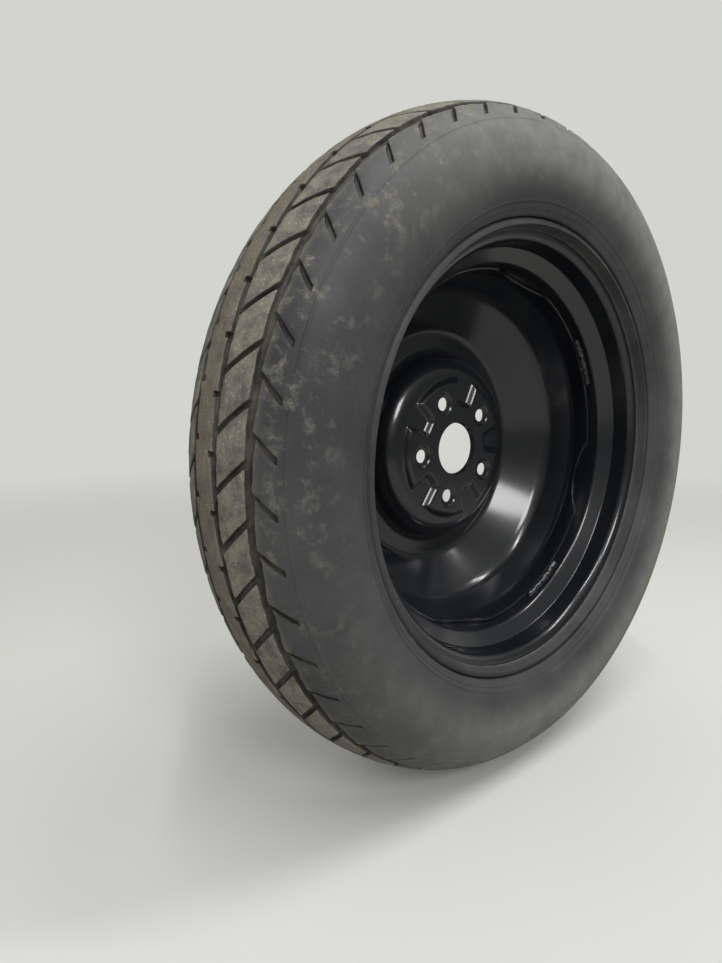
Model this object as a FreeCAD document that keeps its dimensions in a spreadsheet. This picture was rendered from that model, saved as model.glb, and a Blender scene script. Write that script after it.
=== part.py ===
import FreeCAD, Part
import math
import os
from collections import namedtuple

import Sketcher

# Compact spare wheel: a narrow tubeless tyre on a pressed-steel wheel.
# The wheel turns about Y. Its hub side faces -Y, its outer side faces +Y, and Z is up.
# The origin is the centre of the hub's mounting face. All sizes are in millimetres and degrees.

doc = FreeCAD.newDocument("spare_wheel")
sheet = doc.addObject("Spreadsheet::Sheet", "Sizes")

SIZES = (
    # Wheel
    ("wheel_offset", 50.0, "rim's middle plane to hub face"),
    # Tyre
    ("overall_diameter", 695.8, "tyre over the crown"),
    ("section_width", 162.0, "tyre over its sidewalls"),
    ("crown_arc", 101.0, "radius of the tread across the tyre"),
    ("crown_angle", 28.0, "half the tread arc"),
    ("sidewall_tuck", 16.5, "lower sidewall, from the widest place in to the flange"),
    ("bead_gap", 0.25, "tyre to rim"),
    ("bead_width", 17.5, "width of the bead's foot"),
    ("crown_gauge", 13.0, "rubber under the crown"),
    ("shoulder_gauge", 14.0, "rubber at the shoulder"),
    ("sidewall_gauge", 8.0, "rubber at the widest place"),
    ("bead_gauge", 12.0, "rubber above the bead"),
    # Tread
    ("tread_pitches", 48.0, "pattern repeats round the tyre"),
    ("tread_phase", 3.4, "angle of the first cross slot on the hub side"),
    ("far_tread_phase", 7.3, "angle of the first cross slot on the outer side"),
    ("rib_half_width", 18.0, "middle of the tyre to the rib's edge"),
    ("rib_groove_width", 7.2, "groove beside the rib"),
    ("rib_groove_depth", 5.2, "groove beside the rib"),
    ("block_width", 23.6, "row of blocks"),
    ("outer_groove_width", 5.6, "groove beside the shoulder"),
    ("outer_groove_depth", 4.8, "groove beside the shoulder"),
    ("cross_slot_width", 5.0, "slot between two blocks"),
    ("cross_slot_depth", 4.2, "slot between two blocks"),
    ("cross_slot_sweep", 5.05, "angle that a cross slot runs round"),
    ("shoulder_slot_length", 14.0, "shoulder slot across the tyre"),
    ("shoulder_slot_width", 4.6, "slot in the shoulder"),
    ("shoulder_slot_depth", 3.4, "slot in the shoulder"),
    ("shoulder_slot_sweep", 4.4, "angle that a shoulder slot runs round"),
    ("shoulder_slot_lag", 3.5, "angle from a cross slot to the next shoulder slot"),
    ("notch_length", 5.5, "notch in the rib's edge"),
    ("notch_width", 4.4, "notch in the rib's edge"),
    ("notch_depth", 4.0, "notch in the rib's edge"),
    ("notch_lag", 2.05, "angle from a cross slot to the next notch"),
    # Rim
    ("rim_diameter", 436.6, "rim at the bead seats"),
    ("rim_width", 101.6, "between the flanges"),
    ("rim_gauge", 2.6, "rim sheet"),
    ("flange_height", 17.3, "flange above the bead seat"),
    ("flange_overhang", 8.4, "flange's lip past its face"),
    ("flange_curl", 7.0, "bend of the flange's lip"),
    ("bead_root", 6.5, "bend between flange and seat"),
    ("seat_taper", 5.0, "slope of the bead seats"),
    ("hub_side_seat", 23.5, "width of the hub-side bead seat"),
    ("outer_side_seat", 26.5, "width of the outer bead seat"),
    ("seat_bend", 5.0, "bend between seat and well"),
    ("well_depth", 17.0, "well below the bead seat"),
    ("hub_side_run", 12.0, "run of the well's hub-side wall"),
    ("outer_side_run", 6.5, "run of the well's outer wall"),
    ("well_bend", 3.5, "bend at the well's floor"),
    # Disc
    ("disc_gauge", 3.6, "disc sheet"),
    ("bore_diameter", 60.1, "centre bore"),
    ("bore_depth", 5.7, "wall of the bore, from the hub face"),
    ("bore_collar", 3.2, "collar round the bore on the outer side"),
    ("pad_margin", 19.85, "hub face past the bolt circle"),
    ("pad_bend", 5.5, "bend at the hub face's edge"),
    ("plateau_depth", 6.5, "ring round the hub face, below it"),
    ("plateau_run", 6.0, "slope between hub face and ring"),
    ("foot_bend", 3.0, "bend at that slope's foot"),
    ("plateau_width", 21.0, "that ring"),
    ("plateau_bend", 9.0, "bend at the ring's edge"),
    ("bowl_depth", 40.5, "bowl below the hub face"),
    ("bowl_wall_run", 7.0, "run of the bowl's inner wall"),
    ("bowl_width", 27.0, "bowl's floor"),
    ("bowl_bend", 9.0, "bends of the bowl's floor"),
    ("brow_inset", 13.0, "change of slope near the rim, from the skirt"),
    ("brow_depth", 1.0, "that change, below the hub face"),
    ("brow_bend", 30.0, "bend at that change"),
    ("skirt_top", 18.0, "skirt's bend past the rim's middle plane"),
    ("skirt_bend", 20.0, "bend of the skirt"),
    ("skirt_reach", 4.0, "skirt's edge past the rim's middle plane"),
    ("skirt_gap", 0.1, "skirt to well"),
    ("scallops", 4.0, "scallops in the skirt's edge"),
    ("scallop_phase", -13.5, "angle of the first scallop"),
    ("scallop_width", 90.0, "scallop in the skirt's edge"),
    ("scallop_depth", 14.0, "scallop in the skirt's edge"),
    # Lug holes and the pressed pockets between them
    ("lugs", 5.0, "wheel studs"),
    ("lug_phase", 41.5, "angle of the first lug hole"),
    ("bolt_circle", 114.3, "pitch circle of the lug holes"),
    ("lug_hole_diameter", 15.0, "lug hole"),
    ("lug_seat_diameter", 17.5, "mouth of the nut's cone"),
    ("lug_seat_angle", 60.0, "nut's cone, whole angle"),
    ("lug_dimple_diameter", 27.0, "coined dimple round a lug hole"),
    ("lug_dimple_depth", 1.5, "coined dimple round a lug hole"),
    ("pocket_start", 50.0, "pressed pocket's inner end"),
    ("pocket_inner_width", 9.0, "pocket's floor, inner end"),
    ("pocket_outer_width", 19.0, "pocket's floor, outer end"),
    ("pocket_wall_run", 6.0, "slope of a pocket's walls"),
    # Welds
    ("welds", 4.0, "weld beads"),
    ("weld_phase", 31.5, "angle of the first bead's middle"),
    ("weld_span", 20.0, "angle that a bead runs round"),
    ("weld_leg", 5.0, "bead along the well"),
    ("weld_crown", 7.0, "roundness of a bead"),
    ("weld_gap", 0.05, "bead to the sheets"),
    # Valve, measured along its own axis from the middle of the rim's sheet
    ("valve_hole_diameter", 11.3, "hole in the rim"),
    ("valve_hole_gap", 0.15, "rubber to rim"),
    ("stem_head_radius", 7.4, "rubber head inside the tyre"),
    ("stem_head_length", 4.2, "rubber head inside the tyre"),
    ("stem_head_chamfer", 1.5, "edge of the head and of the shoulder"),
    ("stem_shoulder_radius", 7.2, "rubber shoulder outside"),
    ("stem_shoulder_length", 5.0, "rubber shoulder outside"),
    ("stem_neck_radius", 4.8, "rubber neck"),
    ("stem_length", 22.0, "rubber, to its outer end"),
    ("insert_radius", 3.2, "brass tube in the rubber"),
    ("insert_gap", 0.02, "brass tube to rubber"),
    ("tip_radius", 3.85, "brass tip under the cap"),
    ("tip_length", 8.0, "brass tip under the cap"),
    ("core_bore_radius", 2.65, "bore for the valve core"),
    ("core_bore_depth", 8.4, "bore for the valve core"),
    ("air_bore_radius", 2.3, "bore past the core"),
    ("plug_gap", 0.05, "core to bore"),
    ("plug_length", 4.0, "screwed head of the core"),
    ("plug_recess", 1.0, "tip's end to the core's head"),
    ("plug_slot", 1.3, "air slots in the head"),
    ("barrel_radius", 1.8, "core barrel"),
    ("barrel_length", 9.0, "core barrel"),
    ("barrel_wall", 0.4, "core barrel"),
    ("barrel_floor", 0.9, "barrel's inner end"),
    ("ring_length", 2.0, "sealing ring round the barrel"),
    ("pin_radius", 0.5, "core pin"),
    ("pin_gap", 0.06, "pin to its guides"),
    ("pin_recess", 0.4, "tip's end to the pin's end"),
    ("pin_collar_radius", 1.15, "collar that the spring lifts"),
    ("pin_collar_length", 0.6, "collar that the spring lifts"),
    ("cup_radius", 1.7, "cup on the pin"),
    ("cup_length", 1.4, "cup on the pin"),
    ("cup_rim", 0.3, "rim round the cup's seal"),
    ("seal_length", 0.7, "soft seal in the cup"),
    ("seat_gap", 0.02, "seals and spring to their seats"),
    ("spring_radius", 1.0, "middle of the spring's wire"),
    ("spring_wire", 0.3, "spring wire"),
    ("spring_turns", 5.0, "turns of the spring"),
    ("cap_gap", 0.3, "cap to the valve"),
    ("cap_radius", 5.0, "cap"),
    ("cap_wall", 1.4, "top of the cap"),
    ("cap_round", 0.9, "edge of the cap's top"),
    ("cap_ribs", 16.0, "grip grooves in the cap"),
    ("cap_rib_depth", 0.35, "grip grooves in the cap"),
)

for row, (alias, number, note) in enumerate(SIZES, start=1):
    sheet.set("A%d" % row, alias)
    sheet.set("B%d" % row, str(number))
    sheet.setAlias("B%d" % row, alias)
    sheet.set("C%d" % row, note)
doc.recompute()

ALONG_X = FreeCAD.Vector(1, 0, 0)
ALONG_Y = FreeCAD.Vector(0, 1, 0)
ORIGIN = FreeCAD.Vector(0, 0, 0)


def size(alias):
    """A size from the sheet, as a number."""
    return float(sheet.get(alias))


def names(text):
    """An expression in the sheet's aliases, with the sheet's name set before each of them."""
    for alias in sorted((entry[0] for entry in SIZES), key=len, reverse=True):
        text = text.replace("{%s}" % alias, "Sizes.%s" % alias)
    return text


# Places shared by several pieces, as expressions of the sheet's sizes
RIM_RADIUS = "{rim_diameter} / 2"
FLANGE_RADIUS = "({rim_diameter} / 2 + {flange_height})"
FLANGE_FACE = "{rim_width} / 2"
LIP_EDGE = "({rim_width} / 2 + {flange_overhang})"
WELL_RADIUS = "({rim_diameter} / 2 - {well_depth})"
WELL_HUB_SIDE = "({hub_side_seat} + {hub_side_run} - {rim_width} / 2)"
WELL_OUTER_SIDE = "({rim_width} / 2 - {outer_side_seat} - {outer_side_run})"
HUB_SEAT_END = "({rim_diameter} / 2 - {hub_side_seat} * tan({seat_taper}))"
OUTER_SEAT_END = "({rim_diameter} / 2 - {outer_side_seat} * tan({seat_taper}))"
WELL_INSIDE = "({rim_diameter} / 2 - {well_depth} - {rim_gauge})"
SKIRT_INSIDE = "({rim_diameter} / 2 - {well_depth} - {rim_gauge} - {skirt_gap} - {disc_gauge})"
SKIRT_EDGE = "(-{wheel_offset} - {skirt_reach})"

# A corner of an outline: radius and axial place, the bend that rounds it, and the radius of an
# arc that leads from it to the next corner and swells to the right of the way.
Corner = namedtuple("Corner", "r y bend arc", defaults=(None, None))


def tie(sketch, kind, expression, *where):
    """Add a dimension to a sketch and bind it to the sheet."""
    bound = names(expression)
    value = float(sketch.evalExpression(bound))
    number = sketch.addConstraint(Sketcher.Constraint(kind, *where, value))
    sketch.setExpression("Constraints[%d]" % number, bound)


def tie_point(sketch, geometry, end, corner):
    """Bind a point to a corner's radius and axial place."""
    tie(sketch, "DistanceX", corner.r, -1, 1, geometry, end)
    tie(sketch, "DistanceY", corner.y, -1, 1, geometry, end)


def arc_between(start, end, radius):
    """The short arc between two points that swells to the right of the way."""
    chord = end - start
    right = FreeCAD.Vector(chord.y, -chord.x, 0).normalize()
    rise = radius - math.sqrt(radius ** 2 - (chord.Length / 2) ** 2)
    return Part.Arc(start, (start + end) * 0.5 + right * rise, end)


def end_at(sketch, geometry, point):
    """Which end of a piece of a sketch lies at a point: 1 for its start, 2 for its end."""
    start = sketch.getPoint(geometry, 1)
    end = sketch.getPoint(geometry, 2)
    return 1 if (start - point).Length <= (end - point).Length else 2


def draw_outline(sketch, corners, closed=True):
    """Draw lines, arcs and tangent bends through corners, with every size bound to the sheet."""
    places = []
    for corner in corners:
        r = float(sketch.evalExpression(names(corner.r)))
        y = float(sketch.evalExpression(names(corner.y)))
        places.append(FreeCAD.Vector(r, y, 0))
    count = len(corners)
    arrive = list(places)
    leave = list(places)
    bends = {}
    for i, corner in enumerate(corners):
        if corner.bend is None:
            continue
        radius = float(sketch.evalExpression(names(corner.bend)))
        back = (places[i - 1] - places[i]).normalize()
        ahead = (places[(i + 1) % count] - places[i]).normalize()
        half = back.getAngle(ahead) / 2
        arrive[i] = places[i] + back * (radius / math.tan(half))
        leave[i] = places[i] + ahead * (radius / math.tan(half))
        inward = (back + ahead).normalize()
        crown = places[i] + inward * (radius / math.sin(half) - radius)
        bends[i] = Part.Arc(arrive[i], crown, leave[i])

    spans = []
    for i in range(count if closed else count - 1):
        start = leave[i]
        end = arrive[(i + 1) % count]
        if corners[i].arc is None:
            spans.append(sketch.addGeometry(Part.LineSegment(start, end)))
        else:
            radius = float(sketch.evalExpression(names(corners[i].arc)))
            spans.append(sketch.addGeometry(arc_between(start, end, radius)))
            tie(sketch, "Radius", corners[i].arc, spans[-1])

    for i, corner in enumerate(corners):
        before = spans[i - 1] if closed or i > 0 else None
        after = spans[i] if i < len(spans) else None
        if before is None or after is None:
            only = after if before is None else before
            tie_point(sketch, only, end_at(sketch, only, places[i]), corner)
            continue
        before_end = end_at(sketch, before, arrive[i])
        after_end = end_at(sketch, after, leave[i])
        if i not in bends:
            sketch.addConstraint(Sketcher.Constraint("Coincident", before, before_end, after, after_end))
            tie_point(sketch, after, after_end, corner)
            continue
        bend = sketch.addGeometry(bends[i])
        bend_in = end_at(sketch, bend, arrive[i])
        sketch.addConstraint(Sketcher.Constraint("Tangent", before, before_end, bend, bend_in))
        sketch.addConstraint(Sketcher.Constraint("Tangent", bend, 3 - bend_in, after, after_end))
        tie(sketch, "Radius", corner.bend, bend)
        point = sketch.addGeometry(Part.Point(places[i]), True)
        tie_point(sketch, point, 1, corner)
        sketch.addConstraint(Sketcher.Constraint("PointOnObject", point, 1, before))
        sketch.addConstraint(Sketcher.Constraint("PointOnObject", point, 1, after))


def turned(label, corners):
    """A body turned about Y from a closed outline."""
    body = doc.addObject("PartDesign::Body", label)
    body.Label = label
    plane = next(f for f in body.Origin.OriginFeatures if f.Role == "XY_Plane")
    sketch = body.newObject("Sketcher::SketchObject", label + "_outline")
    sketch.AttachmentSupport = [(plane, "")]
    sketch.MapMode = "FlatFace"
    draw_outline(sketch, corners)
    turn = body.newObject("PartDesign::Revolution", label + "_turn")
    turn.Profile = sketch
    turn.ReferenceAxis = (sketch, ["V_Axis"])
    turn.Angle = 360
    doc.recompute()
    return body


def pressed_sheet(name, corners, gauge):
    """Sheet of one gauge, to the right of an open line, turned about Y."""
    line = doc.addObject("Sketcher::SketchObject", name + "_line")
    draw_outline(line, corners, closed=False)
    section = doc.addObject("Part::Offset2D", name + "_section")
    section.Source = line
    section.Mode = "Skin"
    section.Join = "Intersection"
    section.Fill = True
    section.setExpression("Value", names(gauge))
    sheet_metal = doc.addObject("Part::Revolution", name + "_sheet")
    sheet_metal.Source = section
    sheet_metal.Axis = ALONG_Y
    sheet_metal.Angle = 360
    sheet_metal.Solid = True
    doc.recompute()
    return sheet_metal


def bind(target, **expressions):
    """Bind properties of an object to the sheet; a property's dots are written as two underscores."""
    for name, expression in expressions.items():
        target.setExpression(name.replace("__", "."), names(expression))


def cut(label, base, *tools):
    """A base with tools taken away."""
    if len(tools) > 1:
        group = doc.addObject("Part::Compound", label + "_tools")
        group.Links = list(tools)
    else:
        group = tools[0]
    result = doc.addObject("Part::Cut", label)
    result.Label = label
    result.Base = base
    result.Tool = group
    return result


def fixed_shape(name, shape):
    """A shape made from the sheet's numbers, kept as an object of the document."""
    holder = doc.addObject("Part::Feature", name)
    holder.Shape = shape
    return holder


# Tyre

CROWN = "{overall_diameter} / 2"
HALF_SECTION = "{section_width} / 2"
TREAD_EDGE_R = "({overall_diameter} / 2 - {crown_arc} * (1 - cos({crown_angle})))"
TREAD_EDGE_Y = "({crown_arc} * sin({crown_angle}))"
SHOULDER_ARC = "(({section_width} / 2 - {crown_arc} * sin({crown_angle})) / (1 - sin({crown_angle})))"
WIDEST_R = "(%s - %s * cos({crown_angle}))" % (TREAD_EDGE_R, SHOULDER_ARC)
LEDGE_R = "(%s + {bead_gap})" % FLANGE_RADIUS
LEDGE_Y = "({section_width} / 2 - {sidewall_tuck})"
LOWER_ARC = "(((%s - %s)^2 + {sidewall_tuck}^2) / (2 * {sidewall_tuck}))" % (WIDEST_R, LEDGE_R)
BEAD_FACE = "(%s - {bead_gap})" % FLANGE_FACE
BEAD_SEAT = "({rim_diameter} / 2 + {bead_gap})"
TOE_R = "(%s - {bead_width} * tan({seat_taper}))" % BEAD_SEAT
TOE_Y = "(%s - {bead_width})" % BEAD_FACE
CURL_FIT = "({flange_curl} + {bead_gap})"
ROOT_FIT = "({bead_root} + {bead_gap})"


def tyre_outline():
    """The carcass: crown, shoulders, sidewalls and beads outside, the air space inside."""
    liner_crown = "(%s - {crown_gauge})" % CROWN
    liner_side = "(%s - {sidewall_gauge})" % HALF_SECTION
    liner_shoulder_r = "(%s - {shoulder_gauge})" % TREAD_EDGE_R
    liner_bead_y = "(%s - {bead_gauge})" % LEDGE_Y
    outer_side = [
        Corner(TREAD_EDGE_R, TREAD_EDGE_Y, arc=SHOULDER_ARC),
        Corner(WIDEST_R, HALF_SECTION, arc=LOWER_ARC),
        Corner(LEDGE_R, LEDGE_Y),
        Corner(LEDGE_R, BEAD_FACE, bend=CURL_FIT),
        Corner(BEAD_SEAT, BEAD_FACE, bend=ROOT_FIT),
        Corner(TOE_R, TOE_Y),
        Corner(LEDGE_R, liner_bead_y),
        Corner(WIDEST_R, liner_side),
        Corner(liner_shoulder_r, TREAD_EDGE_Y),
        Corner(liner_crown, "{rib_half_width}"),
    ]
    hub_side = [Corner(c.r, "-(%s)" % c.y, bend=c.bend) for c in reversed(outer_side)]
    # Going back outwards on the hub side, each arc starts one corner earlier
    hub_side[-3] = hub_side[-3]._replace(arc=LOWER_ARC)
    hub_side[-2] = hub_side[-2]._replace(arc=SHOULDER_ARC)
    hub_side[-1] = hub_side[-1]._replace(arc="{crown_arc}")
    return outer_side + hub_side


def tread_point(y, angle, depth):
    """Point below the tread at an axial place and an angle, with the outward direction there."""
    crown_arc = size("crown_arc")
    crown_angle = math.radians(size("crown_angle"))
    edge_y = crown_arc * math.sin(crown_angle)
    shoulder_arc = (size("section_width") / 2 - edge_y) / (1 - math.sin(crown_angle))
    if abs(y) <= edge_y:
        arc = crown_arc
        centre_y = 0.0
        centre_r = size("overall_diameter") / 2 - crown_arc
    else:
        arc = shoulder_arc
        centre_y = (crown_arc - shoulder_arc) * math.sin(crown_angle)
        centre_r = size("overall_diameter") / 2 - crown_arc
        centre_r += (crown_arc - shoulder_arc) * math.cos(crown_angle)
    lean = math.asin((abs(y) - centre_y) / arc)
    r = centre_r + (arc - depth) * math.cos(lean)
    axial = math.copysign(centre_y + (arc - depth) * math.sin(lean), y)
    turn = math.radians(angle)
    place = FreeCAD.Vector(r * math.cos(turn), axial, r * math.sin(turn))
    outward = FreeCAD.Vector(
        math.cos(lean) * math.cos(turn),
        math.copysign(math.sin(lean), y),
        math.cos(lean) * math.sin(turn),
    )
    return place, outward


def slot(start, end, width, depth):
    """Straight slot cutter between two places on the tread, each an axial place and an angle."""
    foot, foot_out = tread_point(*start, depth)
    tip, tip_out = tread_point(*end, depth)
    along = tip - foot
    length = along.Length
    along.normalize()
    across = (foot_out + tip_out).cross(along).normalize()
    outward = along.cross(across)
    corner = foot - across * (width / 2)
    placement = FreeCAD.Placement(corner, FreeCAD.Rotation(along, across, outward, "XYZ"))
    cutter = Part.makeBox(length, width, 2 * depth)
    cutter.Placement = placement
    return cutter


def ring_groove(y, width, depth):
    """Cutter for a groove right round the tread, square to the surface."""
    foot, outward = tread_point(y, 0.0, depth)
    across = outward.cross(FreeCAD.Vector(0, 0, 1)).normalize()
    low = foot - across * (width / 2)
    high = foot + across * (width / 2)
    reach = outward * (2 * depth)
    section = Part.Face(Part.makePolygon([low, high, high + reach, low + reach, low]))
    return section.revolve(ORIGIN, ALONG_Y, 360)


def tread_rows():
    """Axial places of the tread's edges and grooves, from the middle of the tyre outwards."""
    rib_edge = size("rib_half_width")
    block_edge = rib_edge + size("rib_groove_width")
    block_end = block_edge + size("block_width")
    shoulder_edge = block_end + size("outer_groove_width")
    return {
        "rib_edge": rib_edge,
        "rib_groove": (rib_edge + block_edge) / 2,
        "outer_groove": (block_end + shoulder_edge) / 2,
        "shoulder_end": shoulder_edge + size("shoulder_slot_length"),
    }


def ring_grooves():
    """The four grooves that run right round."""
    rows = tread_rows()
    rings = []
    for side in (-1, 1):
        for name in ("rib_groove", "outer_groove"):
            rings.append(ring_groove(side * rows[name], size(name + "_width"), size(name + "_depth")))
    return Part.makeCompound(rings)


def tread_slots():
    """Cross slots, shoulder slots and rib notches. The two sides match when one is turned half round."""
    rows = tread_rows()
    pitch = 360.0 / size("tread_pitches")
    slots = []
    for side, phase in ((-1, size("tread_phase")), (1, size("far_tread_phase"))):
        rib_groove = side * rows["rib_groove"]
        outer_groove = side * rows["outer_groove"]
        notch_end = side * (rows["rib_edge"] - size("notch_length"))
        # Turned half round, a side's angles run the other way
        turn = -side
        for number in range(round(size("tread_pitches"))):
            block = number * pitch + phase
            block_end = block + turn * size("cross_slot_sweep")
            shoulder = block + turn * size("shoulder_slot_lag")
            shoulder_end = shoulder + turn * size("shoulder_slot_sweep")
            notch = block_end + turn * size("notch_lag")
            slots.append(slot(
                (outer_groove, block), (rib_groove, block_end),
                size("cross_slot_width"), size("cross_slot_depth"),
            ))
            slots.append(slot(
                (outer_groove, shoulder), (side * rows["shoulder_end"], shoulder_end),
                size("shoulder_slot_width"), size("shoulder_slot_depth"),
            ))
            slots.append(slot(
                (rib_groove, notch), (notch_end, notch),
                size("notch_width"), size("notch_depth"),
            ))
    return Part.makeCompound(slots)


carcass = turned("tyre_carcass", tyre_outline())
grooved_tyre = cut("grooved_tyre", carcass, fixed_shape("ring_grooves", ring_grooves()))
tyre = cut("tyre", grooved_tyre, fixed_shape("tread_slots", tread_slots()))
bind(tyre, Placement__Base__y="-{wheel_offset}")


# Rim

VALVE_R = "(%s + %s) / 2" % (WELL_RADIUS, OUTER_SEAT_END)
VALVE_Y = "(%s + {outer_side_run} / 2)" % WELL_OUTER_SIDE
VALVE_TILT = "atan({outer_side_run} / (%s - %s))" % (OUTER_SEAT_END, WELL_RADIUS)
# From the middle of the sheet the valve's place lies half a gauge towards the axle and outwards
VALVE_BASE_Y = "(%s - {wheel_offset} + {rim_gauge} / 2 * cos(%s))" % (VALVE_Y, VALVE_TILT)
VALVE_BASE_Z = "(%s - {rim_gauge} / 2 * sin(%s))" % (VALVE_R, VALVE_TILT)


def rim_line():
    """The rim's tyre side, from the outer lip to the hub-side lip."""
    return [
        Corner(FLANGE_RADIUS, LIP_EDGE),
        Corner(FLANGE_RADIUS, FLANGE_FACE, bend="{flange_curl}"),
        Corner(RIM_RADIUS, FLANGE_FACE, bend="{bead_root}"),
        Corner(OUTER_SEAT_END, "(%s + {outer_side_run})" % WELL_OUTER_SIDE, bend="{seat_bend}"),
        Corner(WELL_RADIUS, WELL_OUTER_SIDE, bend="{well_bend}"),
        Corner(WELL_RADIUS, WELL_HUB_SIDE, bend="{well_bend}"),
        Corner(HUB_SEAT_END, "(%s - {hub_side_run})" % WELL_HUB_SIDE, bend="{seat_bend}"),
        Corner(RIM_RADIUS, "-" + FLANGE_FACE, bend="{bead_root}"),
        Corner(FLANGE_RADIUS, "-" + FLANGE_FACE, bend="{flange_curl}"),
        Corner(FLANGE_RADIUS, "-" + LIP_EDGE),
    ]


rim_band = pressed_sheet("rim_band", rim_line(), "{rim_gauge}")
bind(rim_band, Placement__Base__y="-{wheel_offset}")


def set_on_valve_axis(piece):
    """Put a piece that was made along Y from the valve's seat on the valve's own axis."""
    piece.Placement = FreeCAD.Placement(ORIGIN, FreeCAD.Rotation(ALONG_X, 1))
    bind(
        piece,
        Placement__Base__y=VALVE_BASE_Y,
        Placement__Base__z=VALVE_BASE_Z,
        Placement__Rotation__Angle="-" + VALVE_TILT,
    )


valve_hole = turned("valve_hole", [
    Corner("0", "-{stem_head_length}"),
    Corner("{valve_hole_diameter} / 2", "-{stem_head_length}"),
    Corner("{valve_hole_diameter} / 2", "{stem_head_length}"),
    Corner("0", "{stem_head_length}"),
])
set_on_valve_axis(valve_hole)
rim = cut("rim", rim_band, valve_hole)


# Wheel disc

PAD_RADIUS = "({bolt_circle} / 2 + {pad_margin})"
PLATEAU_EDGE = "(%s + {plateau_run})" % PAD_RADIUS
PLATEAU_RADIUS = "(%s + {plateau_width})" % PLATEAU_EDGE
BOWL_INNER_RADIUS = "(%s + {bowl_wall_run})" % PLATEAU_RADIUS
BOWL_OUTER_RADIUS = "(%s + {bowl_width})" % BOWL_INNER_RADIUS
BROW_RADIUS = "(%s - {brow_inset})" % SKIRT_INSIDE


def disc_line():
    """The disc's hub side, from the skirt's edge to the axis, before the bore is punched."""
    return [
        Corner(SKIRT_INSIDE, SKIRT_EDGE),
        Corner(SKIRT_INSIDE, "({skirt_top} - {wheel_offset})", bend="{skirt_bend}"),
        Corner(BROW_RADIUS, "{brow_depth}", bend="{brow_bend}"),
        Corner(BOWL_OUTER_RADIUS, "{bowl_depth}", bend="{bowl_bend}"),
        Corner(BOWL_INNER_RADIUS, "{bowl_depth}", bend="{bowl_bend}"),
        Corner(PLATEAU_RADIUS, "{plateau_depth}", bend="{plateau_bend}"),
        Corner(PLATEAU_EDGE, "{plateau_depth}", bend="{foot_bend}"),
        Corner(PAD_RADIUS, "0", bend="{pad_bend}"),
        Corner("0", "0"),
    ]


def along_axis(name, radius, y, height):
    """Cylinder on the wheel's axis, from y outwards."""
    bar = doc.addObject("Part::Cylinder", name)
    bar.Placement = FreeCAD.Placement(ORIGIN, FreeCAD.Rotation(ALONG_X, -90))
    bind(bar, Radius=radius, Height=height, Placement__Base__y=y)
    return bar


def lug_angle(number):
    """Angle of a lug hole, from +X towards +Z, as an expression."""
    return "({lug_phase} + %d * 360 / {lugs})" % number


def on_bolt_circle(piece, number, y):
    """Stand a cone or cylinder on the bolt circle, along the wheel's axis."""
    angle = lug_angle(number)
    piece.Placement = FreeCAD.Placement(ORIGIN, FreeCAD.Rotation(ALONG_X, -90))
    bind(
        piece,
        Placement__Base__x="{bolt_circle} / 2 * cos(%s)" % angle,
        Placement__Base__y=y,
        Placement__Base__z="{bolt_circle} / 2 * sin(%s)" % angle,
    )


def lug_boss(number):
    """Coined ring on the outer side that carries the nut's cone."""
    boss = doc.addObject("Part::Cylinder", "lug_boss")
    bind(boss, Radius="{lug_dimple_diameter} / 2", Height="{lug_dimple_depth} + {disc_gauge} / 2")
    on_bolt_circle(boss, number, "{disc_gauge} / 2")
    return boss


def lug_cutters(number):
    """Lug hole, dimple on the hub side and nut's cone on the outer side."""
    hole = doc.addObject("Part::Cylinder", "lug_hole")
    bind(hole, Radius="{lug_hole_diameter} / 2", Height="4 * {disc_gauge}")
    on_bolt_circle(hole, number, "-{disc_gauge}")
    dimple = doc.addObject("Part::Cone", "lug_dimple")
    bind(
        dimple,
        Radius1="{lug_dimple_diameter} / 2",
        Radius2="{lug_dimple_diameter} / 2 - {lug_dimple_depth}",
        Height="{lug_dimple_depth}",
    )
    on_bolt_circle(dimple, number, "0")
    seat = doc.addObject("Part::Cone", "lug_seat")
    drop = "(({lug_seat_diameter} - {lug_hole_diameter}) / 2 / tan({lug_seat_angle} / 2))"
    bind(
        seat,
        Radius1="{lug_hole_diameter} / 2",
        Radius2="{lug_seat_diameter} / 2",
        Height=drop,
    )
    on_bolt_circle(seat, number, "{disc_gauge} + {lug_dimple_depth} - %s" % drop)
    return [hole, dimple, seat]


def pocket(number, wall, top, floor):
    """Tapered radial block between two lug holes, widened all round by a wall, from top to floor."""
    angle = size("lug_phase") + (number + 0.5) * 360.0 / size("lugs")
    end = size("bolt_circle") / 2 + size("pad_margin") + size("plateau_run")
    run = size("pocket_wall_run")
    inner = size("pocket_inner_width") / 2 + wall
    outer = size("pocket_outer_width") / 2 + wall

    def outline(y, spread):
        corners = [
            FreeCAD.Vector(size("pocket_start") + run - wall - spread, y, -inner - spread),
            FreeCAD.Vector(end, y, -outer - spread),
            FreeCAD.Vector(end, y, outer + spread),
            FreeCAD.Vector(size("pocket_start") + run - wall - spread, y, inner + spread),
        ]
        return Part.makePolygon(corners + corners[:1])

    block = Part.makeLoft([outline(floor, 0.0), outline(top, run)], True, True)
    block.rotate(ORIGIN, ALONG_Y, -angle)
    return block


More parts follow.
